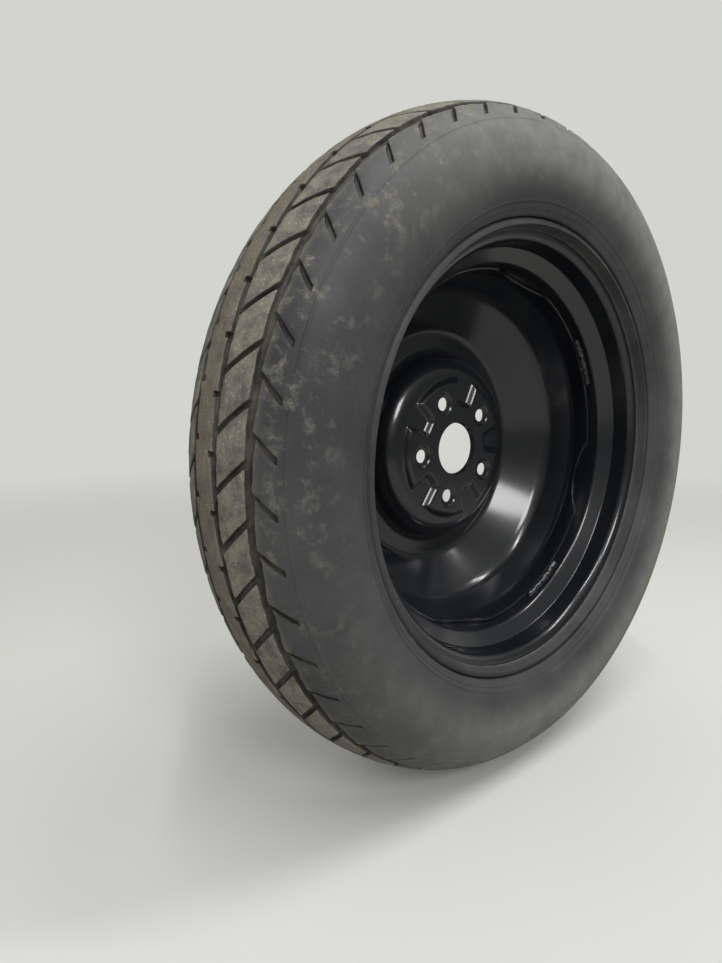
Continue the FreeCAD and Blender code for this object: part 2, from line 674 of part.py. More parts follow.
def scallop(number):
    """Round cut in the skirt's edge, between two welds."""
    angle = "({scallop_phase} + %d * 360 / {scallops})" % number
    radius = "(({scallop_width} / 2)^2 + {scallop_depth}^2) / (2 * {scallop_depth})"
    cutter = doc.addObject("Part::Cylinder", "skirt_scallop")
    cutter.Placement = FreeCAD.Placement(ORIGIN, FreeCAD.Rotation(ALONG_Y, 1))
    bind(
        cutter,
        Radius=radius,
        Height="2 * {disc_gauge} + 2 * {brow_bend}",
        Placement__Base__x="(%s - {brow_bend}) * cos(%s)" % (SKIRT_INSIDE, angle),
        Placement__Base__y="%s + {scallop_depth} - %s" % (SKIRT_EDGE, radius),
        Placement__Base__z="(%s - {brow_bend}) * sin(%s)" % (SKIRT_INSIDE, angle),
        Placement__Rotation__Angle="90 - %s" % angle,
    )
    return cutter


disc_sheet = pressed_sheet("disc_sheet", disc_line(), "{disc_gauge}")
lugs = range(round(size("lugs")))
gauge = size("disc_gauge")
floor = size("plateau_depth")
pocket_backs = [pocket(n, gauge / 2, gauge / 2, floor + gauge) for n in lugs]
pockets = [pocket(n, 0.0, 0.0, floor) for n in lugs]
solid_disc = doc.addObject("Part::MultiFuse", "solid_disc")
solid_disc.Shapes = [
    disc_sheet,
    along_axis(
        "bore_collar", "{bore_diameter} / 2 + {bore_collar}",
        "{disc_gauge} / 2", "{bore_depth} - {disc_gauge} / 2",
    ),
    fixed_shape("pocket_backs", Part.makeCompound(pocket_backs)),
    *[lug_boss(n) for n in lugs],
]
lug_tools = [tool for n in lugs for tool in lug_cutters(n)]
wheel_disc = cut(
    "wheel_disc",
    solid_disc,
    along_axis("bore", "{bore_diameter} / 2", "-{disc_gauge}", "{bore_depth} + 2 * {disc_gauge}"),
    fixed_shape("pockets", Part.makeCompound(pockets)),
    *lug_tools,
    *[scallop(n) for n in range(round(size("scallops")))],
)


# Weld beads between the skirt's edge and the well

def weld_bead(number):
    """One bead: a fillet with a round face, run part of the way round."""
    line = doc.addObject("Sketcher::SketchObject", "weld_section")
    inside = "(%s - {weld_gap})" % WELL_INSIDE
    foot = "(%s - {weld_gap})" % SKIRT_EDGE
    draw_outline(line, [
        Corner(inside, foot),
        Corner("(%s - {disc_gauge})" % inside, foot, arc="{weld_crown}"),
        Corner(inside, "(%s - {weld_leg})" % foot),
    ])
    bead = doc.addObject("Part::Revolution", "weld_bead")
    bead.Source = line
    bead.Axis = -ALONG_Y
    bead.Solid = True
    bead.Placement = FreeCAD.Placement(ORIGIN, FreeCAD.Rotation(-ALONG_Y, 1))
    bind(
        bead,
        Angle="{weld_span}",
        Placement__Rotation__Angle="{weld_phase} - {weld_span} / 2 + %d * 360 / {welds}" % number,
    )
    return bead


disc_welds = doc.addObject("Part::Compound", "disc_welds")
disc_welds.Label = "disc_welds"
disc_welds.Links = [weld_bead(n) for n in range(round(size("welds")))]


# Snap-in valve, each piece made along Y from the middle of the rim's sheet

HALF_GAUGE = "{rim_gauge} / 2"
HEAD_FACE = "(-%s - {valve_hole_gap})" % HALF_GAUGE
SHOULDER_FACE = "(%s + {valve_hole_gap})" % HALF_GAUGE
HEAD_END = "(%s - {stem_head_length})" % HEAD_FACE
TIP_END = "({stem_length} + {tip_length})"
BORE_END = "(%s - {core_bore_depth})" % TIP_END
STEM_HOLE = "({insert_radius} + {insert_gap})"

valve_stem = turned("valve_stem", [
    Corner(STEM_HOLE, HEAD_END),
    Corner("({stem_head_radius} - {stem_head_chamfer})", HEAD_END),
    Corner("{stem_head_radius}", "(%s + {stem_head_chamfer})" % HEAD_END),
    Corner("{stem_head_radius}", "(%s - {stem_head_chamfer})" % HEAD_FACE),
    Corner("({stem_head_radius} - {stem_head_chamfer})", HEAD_FACE),
    Corner("({valve_hole_diameter} / 2 - {valve_hole_gap})", HEAD_FACE),
    Corner("({valve_hole_diameter} / 2 - {valve_hole_gap})", SHOULDER_FACE),
    Corner("({stem_shoulder_radius} - {stem_head_chamfer})", SHOULDER_FACE),
    Corner("{stem_shoulder_radius}", "(%s + {stem_head_chamfer})" % SHOULDER_FACE),
    Corner("{stem_neck_radius}", "(%s + {stem_shoulder_length})" % SHOULDER_FACE),
    Corner("{stem_neck_radius}", "{stem_length}"),
    Corner(STEM_HOLE, "{stem_length}"),
])

valve_insert = turned("valve_insert", [
    Corner("{air_bore_radius}", HEAD_END),
    Corner("{insert_radius}", HEAD_END),
    Corner("{insert_radius}", "({stem_length} + {insert_gap})"),
    Corner("{tip_radius}", "({stem_length} + {insert_gap})"),
    Corner("{tip_radius}", TIP_END),
    Corner("{core_bore_radius}", TIP_END),
    Corner("{core_bore_radius}", BORE_END),
    Corner("{air_bore_radius}", BORE_END),
])

PLUG_TOP = "(%s - {plug_recess})" % TIP_END
PLUG_FOOT = "(%s - {plug_length})" % PLUG_TOP
PIN_HOLE = "({pin_radius} + {pin_gap})"
plug_turned = turned("plug_turned", [
    Corner(PIN_HOLE, PLUG_FOOT),
    Corner("({core_bore_radius} - {plug_gap})", PLUG_FOOT),
    Corner("({core_bore_radius} - {plug_gap})", PLUG_TOP),
    Corner(PIN_HOLE, PLUG_TOP),
])
plug_slots = doc.addObject("Part::Compound", "plug_slots")
slot_pair = []
for direction in (-1, 1):
    air_slot = doc.addObject("Part::Box", "air_slot")
    bind(
        air_slot,
        Length="{core_bore_radius}",
        Width="2 * {plug_length}",
        Height="{plug_slot}",
        Placement__Base__x="%d * {core_bore_radius} - %d * {plug_slot} / 2 - {core_bore_radius} / 2"
        % (direction, direction),
        Placement__Base__y="%s - {plug_length} / 2" % PLUG_FOOT,
        Placement__Base__z="-{plug_slot} / 2",
    )
    slot_pair.append(air_slot)
plug_slots.Links = slot_pair
core_plug = cut("core_plug", plug_turned, plug_slots)

BARREL_TOP = "(%s - {seat_gap})" % PLUG_FOOT
BARREL_FOOT = "(%s - {barrel_length})" % BARREL_TOP
BARREL_BORE = "({barrel_radius} - {barrel_wall})"
BARREL_FLOOR = "(%s + {barrel_floor})" % BARREL_FOOT
core_barrel = turned("core_barrel", [
    Corner(PIN_HOLE, BARREL_FOOT),
    Corner("{barrel_radius}", BARREL_FOOT),
    Corner("{barrel_radius}", BARREL_TOP),
    Corner(BARREL_BORE, BARREL_TOP),
    Corner(BARREL_BORE, BARREL_FLOOR),
    Corner(PIN_HOLE, BARREL_FLOOR),
])

# The ring stands on the step where the core's bore ends
RING_FOOT = "(%s + {seat_gap})" % BORE_END
barrel_seal = turned("barrel_seal", [
    Corner("({barrel_radius} + {plug_gap})", RING_FOOT),
    Corner("({core_bore_radius} - {plug_gap})", RING_FOOT),
    Corner("({core_bore_radius} - {plug_gap})", "(%s + {ring_length})" % RING_FOOT),
    Corner("({barrel_radius} + {plug_gap})", "(%s + {ring_length})" % RING_FOOT),
])

PIN_TOP = "(%s - {pin_recess})" % TIP_END
SEAL_TOP = "(%s - {seat_gap})" % BARREL_FOOT
CUP_TOP = "(%s - {cup_rim})" % SEAL_TOP
CUP_FOOT = "(%s - {cup_length})" % CUP_TOP
SEAL_FOOT = "(%s - {seal_length})" % SEAL_TOP
COLLAR_TOP = "(%s - {seat_gap})" % BARREL_TOP
COLLAR_FOOT = "(%s - {pin_collar_length})" % COLLAR_TOP
CUP_HOLE = "({pin_radius} + {seat_gap})"
core_pin = turned("core_pin", [
    Corner("0", CUP_FOOT),
    Corner("{pin_radius}", CUP_FOOT),
    Corner("{pin_radius}", COLLAR_FOOT),
    Corner("{pin_collar_radius}", COLLAR_FOOT),
    Corner("{pin_collar_radius}", COLLAR_TOP),
    Corner("{pin_radius}", COLLAR_TOP),
    Corner("{pin_radius}", PIN_TOP),
    Corner("0", PIN_TOP),
])

pin_cup = turned("pin_cup", [
    Corner(CUP_HOLE, CUP_FOOT),
    Corner("{cup_radius}", CUP_FOOT),
    Corner("{cup_radius}", CUP_TOP),
    Corner("({cup_radius} - {cup_rim})", CUP_TOP),
    Corner("({cup_radius} - {cup_rim})", "(%s - {seat_gap})" % SEAL_FOOT),
    Corner(CUP_HOLE, "(%s - {seat_gap})" % SEAL_FOOT),
])

cup_seal = turned("cup_seal", [
    Corner(CUP_HOLE, SEAL_FOOT),
    Corner("({cup_radius} - {cup_rim} - {seat_gap})", SEAL_FOOT),
    Corner("({cup_radius} - {cup_rim} - {seat_gap})", SEAL_TOP),
    Corner(CUP_HOLE, SEAL_TOP),
])


def spring_shape():
    """Coil of square-set wire between the barrel's floor and the pin's collar, along Y."""
    tip_end = size("stem_length") + size("tip_length")
    top = tip_end - size("plug_recess") - size("plug_length") - 2 * size("seat_gap")
    foot = top - size("barrel_length") + size("seat_gap") + size("barrel_floor")
    top -= size("pin_collar_length")
    wire = size("spring_wire")
    height = top - foot - wire - 2 * size("seat_gap")
    coil = Part.makeHelix(height / size("spring_turns"), height, size("spring_radius"))
    half = wire / 2
    middle = size("spring_radius")
    section = Part.makePolygon([
        FreeCAD.Vector(middle - half, 0, -half),
        FreeCAD.Vector(middle + half, 0, -half),
        FreeCAD.Vector(middle + half, 0, half),
        FreeCAD.Vector(middle - half, 0, half),
        FreeCAD.Vector(middle - half, 0, -half),
    ])
    spring = coil.makePipeShell([section], True, True)
    spring.rotate(ORIGIN, ALONG_X, -90)
    spring.translate(ALONG_Y * (foot + half + size("seat_gap")))
    return spring


# The coil keeps its own turn inside a compound, so that the compound can be set on the valve's axis
core_spring = fixed_shape("core_spring", Part.makeCompound([spring_shape()]))

CAP_MOUTH = "({stem_length} + {cap_gap})"
CAP_BORE = "({tip_radius} + {cap_gap})"
CAP_ROOF = "(%s + {cap_gap})" % TIP_END
cap_turned = turned("cap_turned", [
    Corner(CAP_BORE, CAP_MOUTH),
    Corner("{cap_radius}", CAP_MOUTH),
    Corner("{cap_radius}", "(%s + {cap_wall})" % CAP_ROOF, bend="{cap_round}"),
    Corner("0", "(%s + {cap_wall})" % CAP_ROOF),
    Corner("0", CAP_ROOF),
    Corner(CAP_BORE, CAP_ROOF),
])


def cap_grooves():
    """Grip grooves along the cap."""
    radius = size("cap_radius")
    depth = size("cap_rib_depth")
    mouth = size("stem_length") + size("cap_gap")
    roof = size("stem_length") + size("tip_length") + size("cap_gap")
    length = roof + size("cap_wall") - size("cap_round") - mouth
    grooves = []
    for number in range(round(size("cap_ribs"))):
        tip = FreeCAD.Vector(radius - depth, mouth, 0)
        section = Part.Face(Part.makePolygon([
            tip,
            FreeCAD.Vector(radius + depth, mouth, -2 * depth),
            FreeCAD.Vector(radius + depth, mouth, 2 * depth),
            tip,
        ]))
        groove = section.extrude(ALONG_Y * length)
        groove.rotate(ORIGIN, ALONG_Y, number * 360.0 / size("cap_ribs"))
        grooves.append(groove)
    return Part.makeCompound(grooves)


valve_cap = cut("valve_cap", cap_turned, fixed_shape("cap_grooves", cap_grooves()))

valve_pieces = (
    valve_stem, valve_insert, core_plug, core_barrel, barrel_seal,
    core_pin, pin_cup, cup_seal, core_spring, valve_cap,
)
for piece in valve_pieces:
    set_on_valve_axis(piece)

doc.recompute()

# Check every object and write one file for each piece

for thing in doc.Objects:
    if "Invalid" in thing.State or "Error" in thing.State:
        raise RuntimeError("%s failed: %s" % (thing.Label, thing.State))

os.makedirs("parts", exist_ok=True)
for piece in (tyre, rim, wheel_disc, disc_welds, *valve_pieces):
    shape = piece.Shape
    if shape.isNull() or not shape.isValid():
        raise RuntimeError("%s has no valid shape" % piece.Label)
    shape.exportStep("parts/%s.step" % piece.Label)
    print(piece.Label, len(shape.Solids), "solids", round(shape.Volume, 1), "mm3")
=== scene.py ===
import math

import bmesh
import bpy
import numpy as np
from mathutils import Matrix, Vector, noise


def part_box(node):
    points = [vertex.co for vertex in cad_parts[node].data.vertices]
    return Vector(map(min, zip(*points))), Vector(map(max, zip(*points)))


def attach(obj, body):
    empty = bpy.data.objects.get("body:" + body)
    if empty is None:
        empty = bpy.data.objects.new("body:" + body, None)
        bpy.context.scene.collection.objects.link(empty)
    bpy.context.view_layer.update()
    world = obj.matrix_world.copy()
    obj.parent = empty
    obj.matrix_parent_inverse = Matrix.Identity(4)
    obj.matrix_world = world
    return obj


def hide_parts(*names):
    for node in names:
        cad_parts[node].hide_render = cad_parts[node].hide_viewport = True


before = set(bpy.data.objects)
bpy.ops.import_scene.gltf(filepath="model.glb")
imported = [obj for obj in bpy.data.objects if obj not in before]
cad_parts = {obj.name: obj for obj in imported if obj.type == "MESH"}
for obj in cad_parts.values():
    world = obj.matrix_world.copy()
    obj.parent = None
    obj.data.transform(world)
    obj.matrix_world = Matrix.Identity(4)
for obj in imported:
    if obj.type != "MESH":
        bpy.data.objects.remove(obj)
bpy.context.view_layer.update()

# Sizes are in millimetres and degrees unless a name says otherwise; the scene is in metres
MM = 0.001

# The frame gives where the tyre stands: its middle plane, its crown, now a little worn, and its width
tyre_low, tyre_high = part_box("tyre")
MIDDLE_Y = (tyre_low.y + tyre_high.y) / 2 / MM
CROWN_WEAR = 1.4
CROWN_RADIUS = tyre_high.z / MM - CROWN_WEAR
HALF_SECTION = (tyre_high.y - tyre_low.y) / 2 / MM

# Tread, measured from the tyre's middle plane
CROWN_ARC = 114.0
CROWN_ANGLE = 22.0
SIDEWALL_TUCK = 16.5
PITCHES = 48
PITCH = 360.0 / PITCHES
TREAD_PHASE = 4.0
FAR_SIDE_TURN = 5.4
RIB_EDGE = 13.0
BLOCK_EDGE = 19.5
BLOCK_END = 46.4
SHOULDER_EDGE = 52.8
SHOULDER_SLOT_END = 67.2
RIB_GROOVE_DEPTH = 5.2
OUTER_GROOVE_DEPTH = 4.8
CROSS_SLOT_WIDTH = 6.8
CROSS_SLOT_DEPTH = 4.2
CROSS_SLOT_SWEEP = 4.7
SHOULDER_SLOT_WIDTH = 6.4
SHOULDER_SLOT_DEPTH = 3.4
SHOULDER_SLOT_SWEEP = 4.1
SHOULDER_SLOT_LAG = 3.55
SHOULDER_SLOT_FOOT = 1.8
NOTCH_LAG = 7.2
NOTCH_WIDTH = 5.0
NOTCH_DEPTH = 4.0
NOTCH_START = 8.0
RIB_GROOVE = (RIB_EDGE + BLOCK_EDGE) / 2
OUTER_GROOVE = (BLOCK_END + SHOULDER_EDGE) / 2

# Edges of the grooves: round at the brim and at the floor, with a steep wall between
EDGE_ROUND = 0.7
EDGE_DROP = 0.3
WALL_RUN = 0.55
FLOOR_ROUND = 0.5
# Saw steps of the edges: their size, how far they run in full on the top and the wall, and where they end
SAW_EDGE = 2.6
SAW_TOP = 1.0
SAW_FOOT = 1.2
SAW_CLEAR = 2.0
SAW_REACH = 3.5
# Wear: how far edges wander and tops rise and fall, and in how many waves
RAGGED_EDGE = 0.8
RAGGED_WAVES_PER_DEGREE = 1.1
WAVY_TOP = 0.35
WAVY_WAVES_PER_DEGREE = 0.7
WAVES_ACROSS_PER_MM = 0.35

# Thickness of the rubber
CROWN_GAUGE = 13.0
SIDEWALL_GAUGE = 8.0
BEAD_GAUGE = 12.0

# Rim, measured from the same plane
RIM_RADIUS = 218.3
FLANGE_RADIUS = 235.6
FLANGE_FACE = 50.8
FLANGE_OVERHANG = 8.4
FLANGE_CURL = 7.0
BEAD_ROOT = 6.5
BEAD_GAP = 0.25
BEAD_WIDTH = 17.5
RIM_GAUGE = 2.6
SEAT_TAPER = 5.0
OUTER_SEAT = 26.5
HUB_SEAT = 23.5
SEAT_BEND = 5.0
WELL_RADIUS = 201.3
OUTER_WELL_RUN = 6.5
HUB_WELL_RUN = 12.0
WELL_BEND = 3.5
VALVE_HOLE_RADIUS = 5.65

# Disc, measured from the hub's mounting face
DISC_GAUGE = 3.6
BORE_RADIUS = 30.05
BORE_DEPTH = 5.7
BORE_COLLAR = 3.2
BORE_ROUND = 1.2
COLLAR_ROUND = 0.7
PAD_RADIUS = 77.0
PAD_BEND = 7.0
PLATEAU_DEPTH = 6.5
PLATEAU_EDGE = 83.0
FOOT_BEND = 5.0
PLATEAU_RADIUS = 104.0
PLATEAU_BEND = 21.0
BOWL_DEPTH = 40.5
BOWL_INNER = 111.0
BOWL_INNER_BEND = 11.0
BOWL_OUTER = 138.0
BOWL_OUTER_BEND = 13.0
BROW_RADIUS = 182.0
BROW_DEPTH = 1.0
BROW_BEND = 30.0
SKIRT_INSIDE = 195.0
SKIRT_TOP = -32.0
SKIRT_BEND = 20.0
SKIRT_EDGE = -54.0
SCALLOPS = 4
SCALLOP_PHASE = -13.5
SCALLOP_HALF_WIDTH = 45.0
SCALLOP_DEPTH = 14.0
LUGS = 5
LUG_PHASE = 41.5
LUG_CIRCLE = 114.3 / 2
LUG_HOLE_RADIUS = 7.5
LUG_SEAT_RADIUS = 8.75
LUG_SEAT_HALF_ANGLE = 30.0
LUG_DIMPLE_RADIUS = 13.5
LUG_DIMPLE_DEPTH = 2.2
LUG_DIMPLE_WALL = 3.0
LUG_LIP_DEPTH = 1.0
LUG_LIP_RUN = 1.6
POCKET_START = 48.0
POCKET_INNER_HALF = 4.0
POCKET_OUTER_HALF = 12.0
POCKET_WALL = 9.0

# Welds
WELDS = 4
WELD_PHASE = 31.5
WELD_SPAN = 20.0
WELD_LEG = 5.0
WELD_SWELL = 1.12
WELD_LUMP = 0.22
WELD_LUMPS_PER_DEGREE = 1.1
WELD_RIPPLES = 26
WELD_RIPPLE_SHARE = 0.05
WELD_FADE_SHARE = 0.06

# Camera, found by fitting the photograph's circles
IMAGE_HEIGHT = 963
FOCAL_PIXELS = 609.9
CAMERA_PLACE = (-546.6, -483.3, 74.0)
CAMERA_FORWARD = (0.62882, 0.76180, -0.15572)


def linear(hex_colour):
    """An sRGB hex colour as linear red, green, blue and alpha."""
    values = [int(hex_colour[i:i + 2], 16) / 255 for i in (1, 3, 5)]
    return [v / 12.92 if v <= 0.04045 else ((v + 0.055) / 1.055) ** 2.4 for v in values] + [1.0]


def smooth(low, high, value):
    """0 at low, 1 at high, and an even turn between."""
    t = np.clip((value - low) / (high - low), 0.0, 1.0)
    return t * t * (3 - 2 * t)


# Meshes from rings of points

def ring_points(radius, y, angles):
    """Points round the wheel's axis, in metres; radius and y are numbers or one value for each angle."""
    turn = np.radians(angles)
    radius = np.broadcast_to(radius, turn.shape)
    y = np.broadcast_to(y, turn.shape)
    return np.column_stack([radius * np.cos(turn), y, radius * np.sin(turn)]) * MM


def even_turns(count):
    """Angles of a full turn in equal steps."""
    return 360.0 * np.arange(count) / count


def skin_faces(rings, closed, first_point):
    """Faces through rings; neighbours have the same number of points or a whole multiple of it."""
    starts = first_point + np.cumsum([0] + [len(r) for r in rings])
    faces = []
    for i in range(len(rings) if closed else len(rings) - 1):
        j = (i + 1) % len(rings)
        n = len(rings[i])
        m = len(rings[j])
        few = min(n, m)
        for k in range(few):
            here = [starts[i] + (k * n // few + s) % n for s in range(n // few + 1)]
            there = [starts[j] + (k * m // few + s) % m for s in range(m // few + 1)]
            faces.append(here + there[::-1])
    if not closed:
        faces.append([starts[0] + k for k in range(len(rings[0]))])
        faces.append([starts[-2] + k for k in range(len(rings[-1]))])
    return faces


def make_piece(name, *skins):
    """A mesh object from one or more skins, each a list of rings and whether the last joins the first."""
    points = []
    faces = []
    for rings, closed in skins:
        faces += skin_faces(rings, closed, sum(len(p) for p in points))
        points += rings
    mesh = bpy.data.meshes.new(name)
    mesh.from_pydata(np.concatenate(points).tolist(), [], faces)
    made = bmesh.new()
    made.from_mesh(mesh)
    bmesh.ops.recalc_face_normals(made, faces=made.faces)
    made.to_mesh(mesh)
    made.free()
    piece = bpy.data.objects.new(name, mesh)
    bpy.context.scene.collection.objects.link(piece)
    return piece


def shade(piece, sharp_angle):
    """Smooth shading, broken at edges that turn by more than an angle."""
    piece.data.shade_smooth()
    piece.data.set_sharp_from_angle(angle=math.radians(sharp_angle))


def dress(piece, node):
    """The piece stands for a node of the wheel, which it hides, and is attached to the wheel's body."""
    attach(piece, "wheel")
    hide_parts(node)


def cut_away(piece, cutter):
    """Cut one mesh out of another and drop the cutter."""
    tool = piece.modifiers.new("cut", "BOOLEAN")
    tool.object = cutter
    tool.solver = "EXACT"
    bpy.context.view_layer.update()
    shaped = piece.evaluated_get(bpy.context.evaluated_depsgraph_get())
    mesh = bpy.data.meshes.new_from_object(shaped)
    piece.modifiers.clear()
    piece.data = mesh
    bpy.data.objects.remove(cutter)


def rounded_path(corners, step=9.0):
    """Points along straight runs with round corners, each corner (radius, y, bend); step is the turn
    from one point of a bend to the next."""
    points = []
    for i, (r, y, bend) in enumerate(corners):
        here = np.array([r, y])
        if bend == 0 or i in (0, len(corners) - 1):
            points.append(here)
            continue
        back = np.array(corners[i - 1][:2]) - here
        ahead = np.array(corners[i + 1][:2]) - here
        back /= np.linalg.norm(back)
        ahead /= np.linalg.norm(ahead)
        half = math.acos(np.clip(back @ ahead, -1, 1)) / 2
        reach = bend / math.tan(half)
        middle = (back + ahead) / np.linalg.norm(back + ahead)
        centre = here + middle * (bend / math.sin(half))
        start = here + back * reach - centre
        turn = math.pi - 2 * half
        side = math.copysign(1.0, start[0] * ahead[1] - start[1] * ahead[0])
        count = max(3, round(math.degrees(turn) / step))
        for k in range(count + 1):
            a = side * turn * k / count
            points.append(centre + [
                start[0] * math.cos(a) - start[1] * math.sin(a),
                start[0] * math.sin(a) + start[1] * math.cos(a),
            ])
    return support_points(np.array(points))


def support_points(points, margin=0.8):
    """The same path with a point close to each end of its long runs, so that flats shade flat."""
    kept = [points[0]]
    for a, b in zip(points[:-1], points[1:]):
        length = np.linalg.norm(b - a)
        if length > 4 * margin:
            kept.append(a + (b - a) * margin / length)
            kept.append(b - (b - a) * margin / length)
        kept.append(b)
    return np.array(kept)


def offset_path(points, gauge):
    """The path set off to the right of its way."""
    steps = np.linalg.norm(np.diff(points, axis=0), axis=1)
    along = np.gradient(points, np.concatenate([[0.0], np.cumsum(steps)]), axis=0)
    along /= np.linalg.norm(along, axis=1)[:, None]
    return points + np.column_stack([along[:, 1], -along[:, 0]]) * gauge


def round_edge(face, back, end, before):
    """Points of the half-round edge of a sheet, from one face to the other."""
    centre = (face[end] + back[end]) / 2
    arm = face[end] - centre
    out = face[end] - face[before]
    out *= np.linalg.norm(arm) / np.linalg.norm(out)
    return np.array([centre + arm * math.cos(a) + out * math.sin(a) for a in np.radians([45, 90, 135])])


def sheet_section(face, gauge):
    """Closed section of a sheet: one face, a round edge, the other face and a round edge."""
    back = offset_path(face, gauge)
    return np.concatenate([
        face,
        round_edge(face, back, -1, -2),
        back[::-1],
        round_edge(face, back, 0, 1)[::-1],
    ])


def add_float(piece, name, values):
    """A number on each point of a piece, for its material to read."""
    attribute = piece.data.attributes.new(name, "FLOAT", "POINT")
    attribute.data.foreach_set("value", np.asarray(values, np.float32))


# Tyre

crown_turn = math.radians(CROWN_ANGLE)
SHOULDER_START = CROWN_ARC * math.sin(crown_turn)
SHOULDER_ARC = (HALF_SECTION - SHOULDER_START) / (1 - math.sin(crown_turn))
CROWN_CENTRE = CROWN_RADIUS - CROWN_ARC
SHOULDER_CENTRE_R = CROWN_CENTRE + (CROWN_ARC - SHOULDER_ARC) * math.cos(crown_turn)
SHOULDER_CENTRE_Y = (CROWN_ARC - SHOULDER_ARC) * math.sin(crown_turn)


def tread_surface(y):
    """Radius of the tread at a distance from the middle plane, and its outward direction there."""
    y = np.abs(y)
    on_crown = y <= SHOULDER_START
    arc = np.where(on_crown, CROWN_ARC, SHOULDER_ARC)
    centre_r = np.where(on_crown, CROWN_CENTRE, SHOULDER_CENTRE_R)
    centre_y = np.where(on_crown, 0.0, SHOULDER_CENTRE_Y)
    lean = np.arcsin(np.clip((y - centre_y) / arc, -1, 1))
    return centre_r + arc * np.cos(lean), np.cos(lean), np.sin(lean)


# Rows across half the tread: distance from the middle, depth of the ring grooves there
TREAD_ROWS = (
    (0.0, 0.0), (2.5, 0.0), (5.0, 0.0),
    (NOTCH_START - EDGE_ROUND, 0.0), (NOTCH_START, 0.0), (NOTCH_START + WALL_RUN, 0.0), (10.5, 0.0),
    (RIB_EDGE - EDGE_ROUND, 0.0), (RIB_EDGE, EDGE_DROP),
    (RIB_EDGE + WALL_RUN, RIB_GROOVE_DEPTH - FLOOR_ROUND),
    (RIB_EDGE + 2 * WALL_RUN, RIB_GROOVE_DEPTH),
    (BLOCK_EDGE - 2 * WALL_RUN, RIB_GROOVE_DEPTH),
    (BLOCK_EDGE - WALL_RUN, RIB_GROOVE_DEPTH - FLOOR_ROUND),
    (BLOCK_EDGE, EDGE_DROP), (BLOCK_EDGE + EDGE_ROUND, 0.0),
    (24.0, 0.0), (28.5, 0.0), (33.0, 0.0), (37.5, 0.0), (42.0, 0.0),
    (BLOCK_END - EDGE_ROUND, 0.0), (BLOCK_END, EDGE_DROP),
    (BLOCK_END + WALL_RUN, OUTER_GROOVE_DEPTH - FLOOR_ROUND),
    (BLOCK_END + 2 * WALL_RUN, OUTER_GROOVE_DEPTH),
    (SHOULDER_EDGE - 2 * WALL_RUN, OUTER_GROOVE_DEPTH),
    (SHOULDER_EDGE - WALL_RUN, OUTER_GROOVE_DEPTH - FLOOR_ROUND),
    (SHOULDER_EDGE, EDGE_DROP), (SHOULDER_EDGE + EDGE_ROUND, 0.0),
    (SHOULDER_EDGE + SAW_REACH, 0.0), (59.5, 0.0), (62.5, 0.0),
    (SHOULDER_SLOT_END - SHOULDER_SLOT_FOOT, 0.0), (SHOULDER_SLOT_END - SHOULDER_SLOT_FOOT / 2, 0.0),
    (SHOULDER_SLOT_END, 0.0),
)

# Columns across a slot, in half widths, and between two slots, as shares of the gap
HALF_SLOT_COLUMNS = (0.69, 1.0, 1.39)
SLOT_COLUMNS = tuple(-c for c in HALF_SLOT_COLUMNS[::-1]) + HALF_SLOT_COLUMNS
GAP_COLUMNS = (0.25, 0.5, 0.75)
# Share of the full depth in each of the half slot's columns, and at the blunt end of a notch
HALF_SLOT_DEPTHS = (1.0, 0.07, 0.0)
NOTCH_END_DEPTH = 0.05
# Columns of the tread for each column of the sidewall, and of the sidewall for each of the liner
TREAD_TO_SIDE = 3
SIDE_TO_LINER = 4
# Rows in which the sidewall's columns go over from the tread's spacing to an even one
RELAX_ROWS = 9


def slot_turns(y):
    """Angles of the cross slots and of the shoulder slots with their notches, on the hub side."""
    along_block = np.interp(y, [RIB_GROOVE, OUTER_GROOVE], [CROSS_SLOT_SWEEP, 0.0])
    along_shoulder = np.interp(y, [OUTER_GROOVE, SHOULDER_SLOT_END], [0.0, SHOULDER_SLOT_SWEEP])
    lag = np.interp(y, [BLOCK_EDGE, OUTER_GROOVE], [NOTCH_LAG, SHOULDER_SLOT_LAG])
    return TREAD_PHASE + along_block + along_shoulder, TREAD_PHASE + lag + along_shoulder


def slot_wall(place):
    """Share of a slot's depth at a place across it, in half widths."""
    return np.interp(np.abs(place), HALF_SLOT_COLUMNS, HALF_SLOT_DEPTHS)


def wander(turns, y, waves_per_degree):
    """Smooth random values round the tyre, between about -1 and 1, different at each distance across."""
    around = np.radians(turns)
    reach = math.degrees(waves_per_degree)
    across = np.full(len(turns), WAVES_ACROSS_PER_MM * y)
    places = np.column_stack([reach * np.cos(around), reach * np.sin(around), across])
    return np.array([noise.noise(Vector(p)) for p in places])


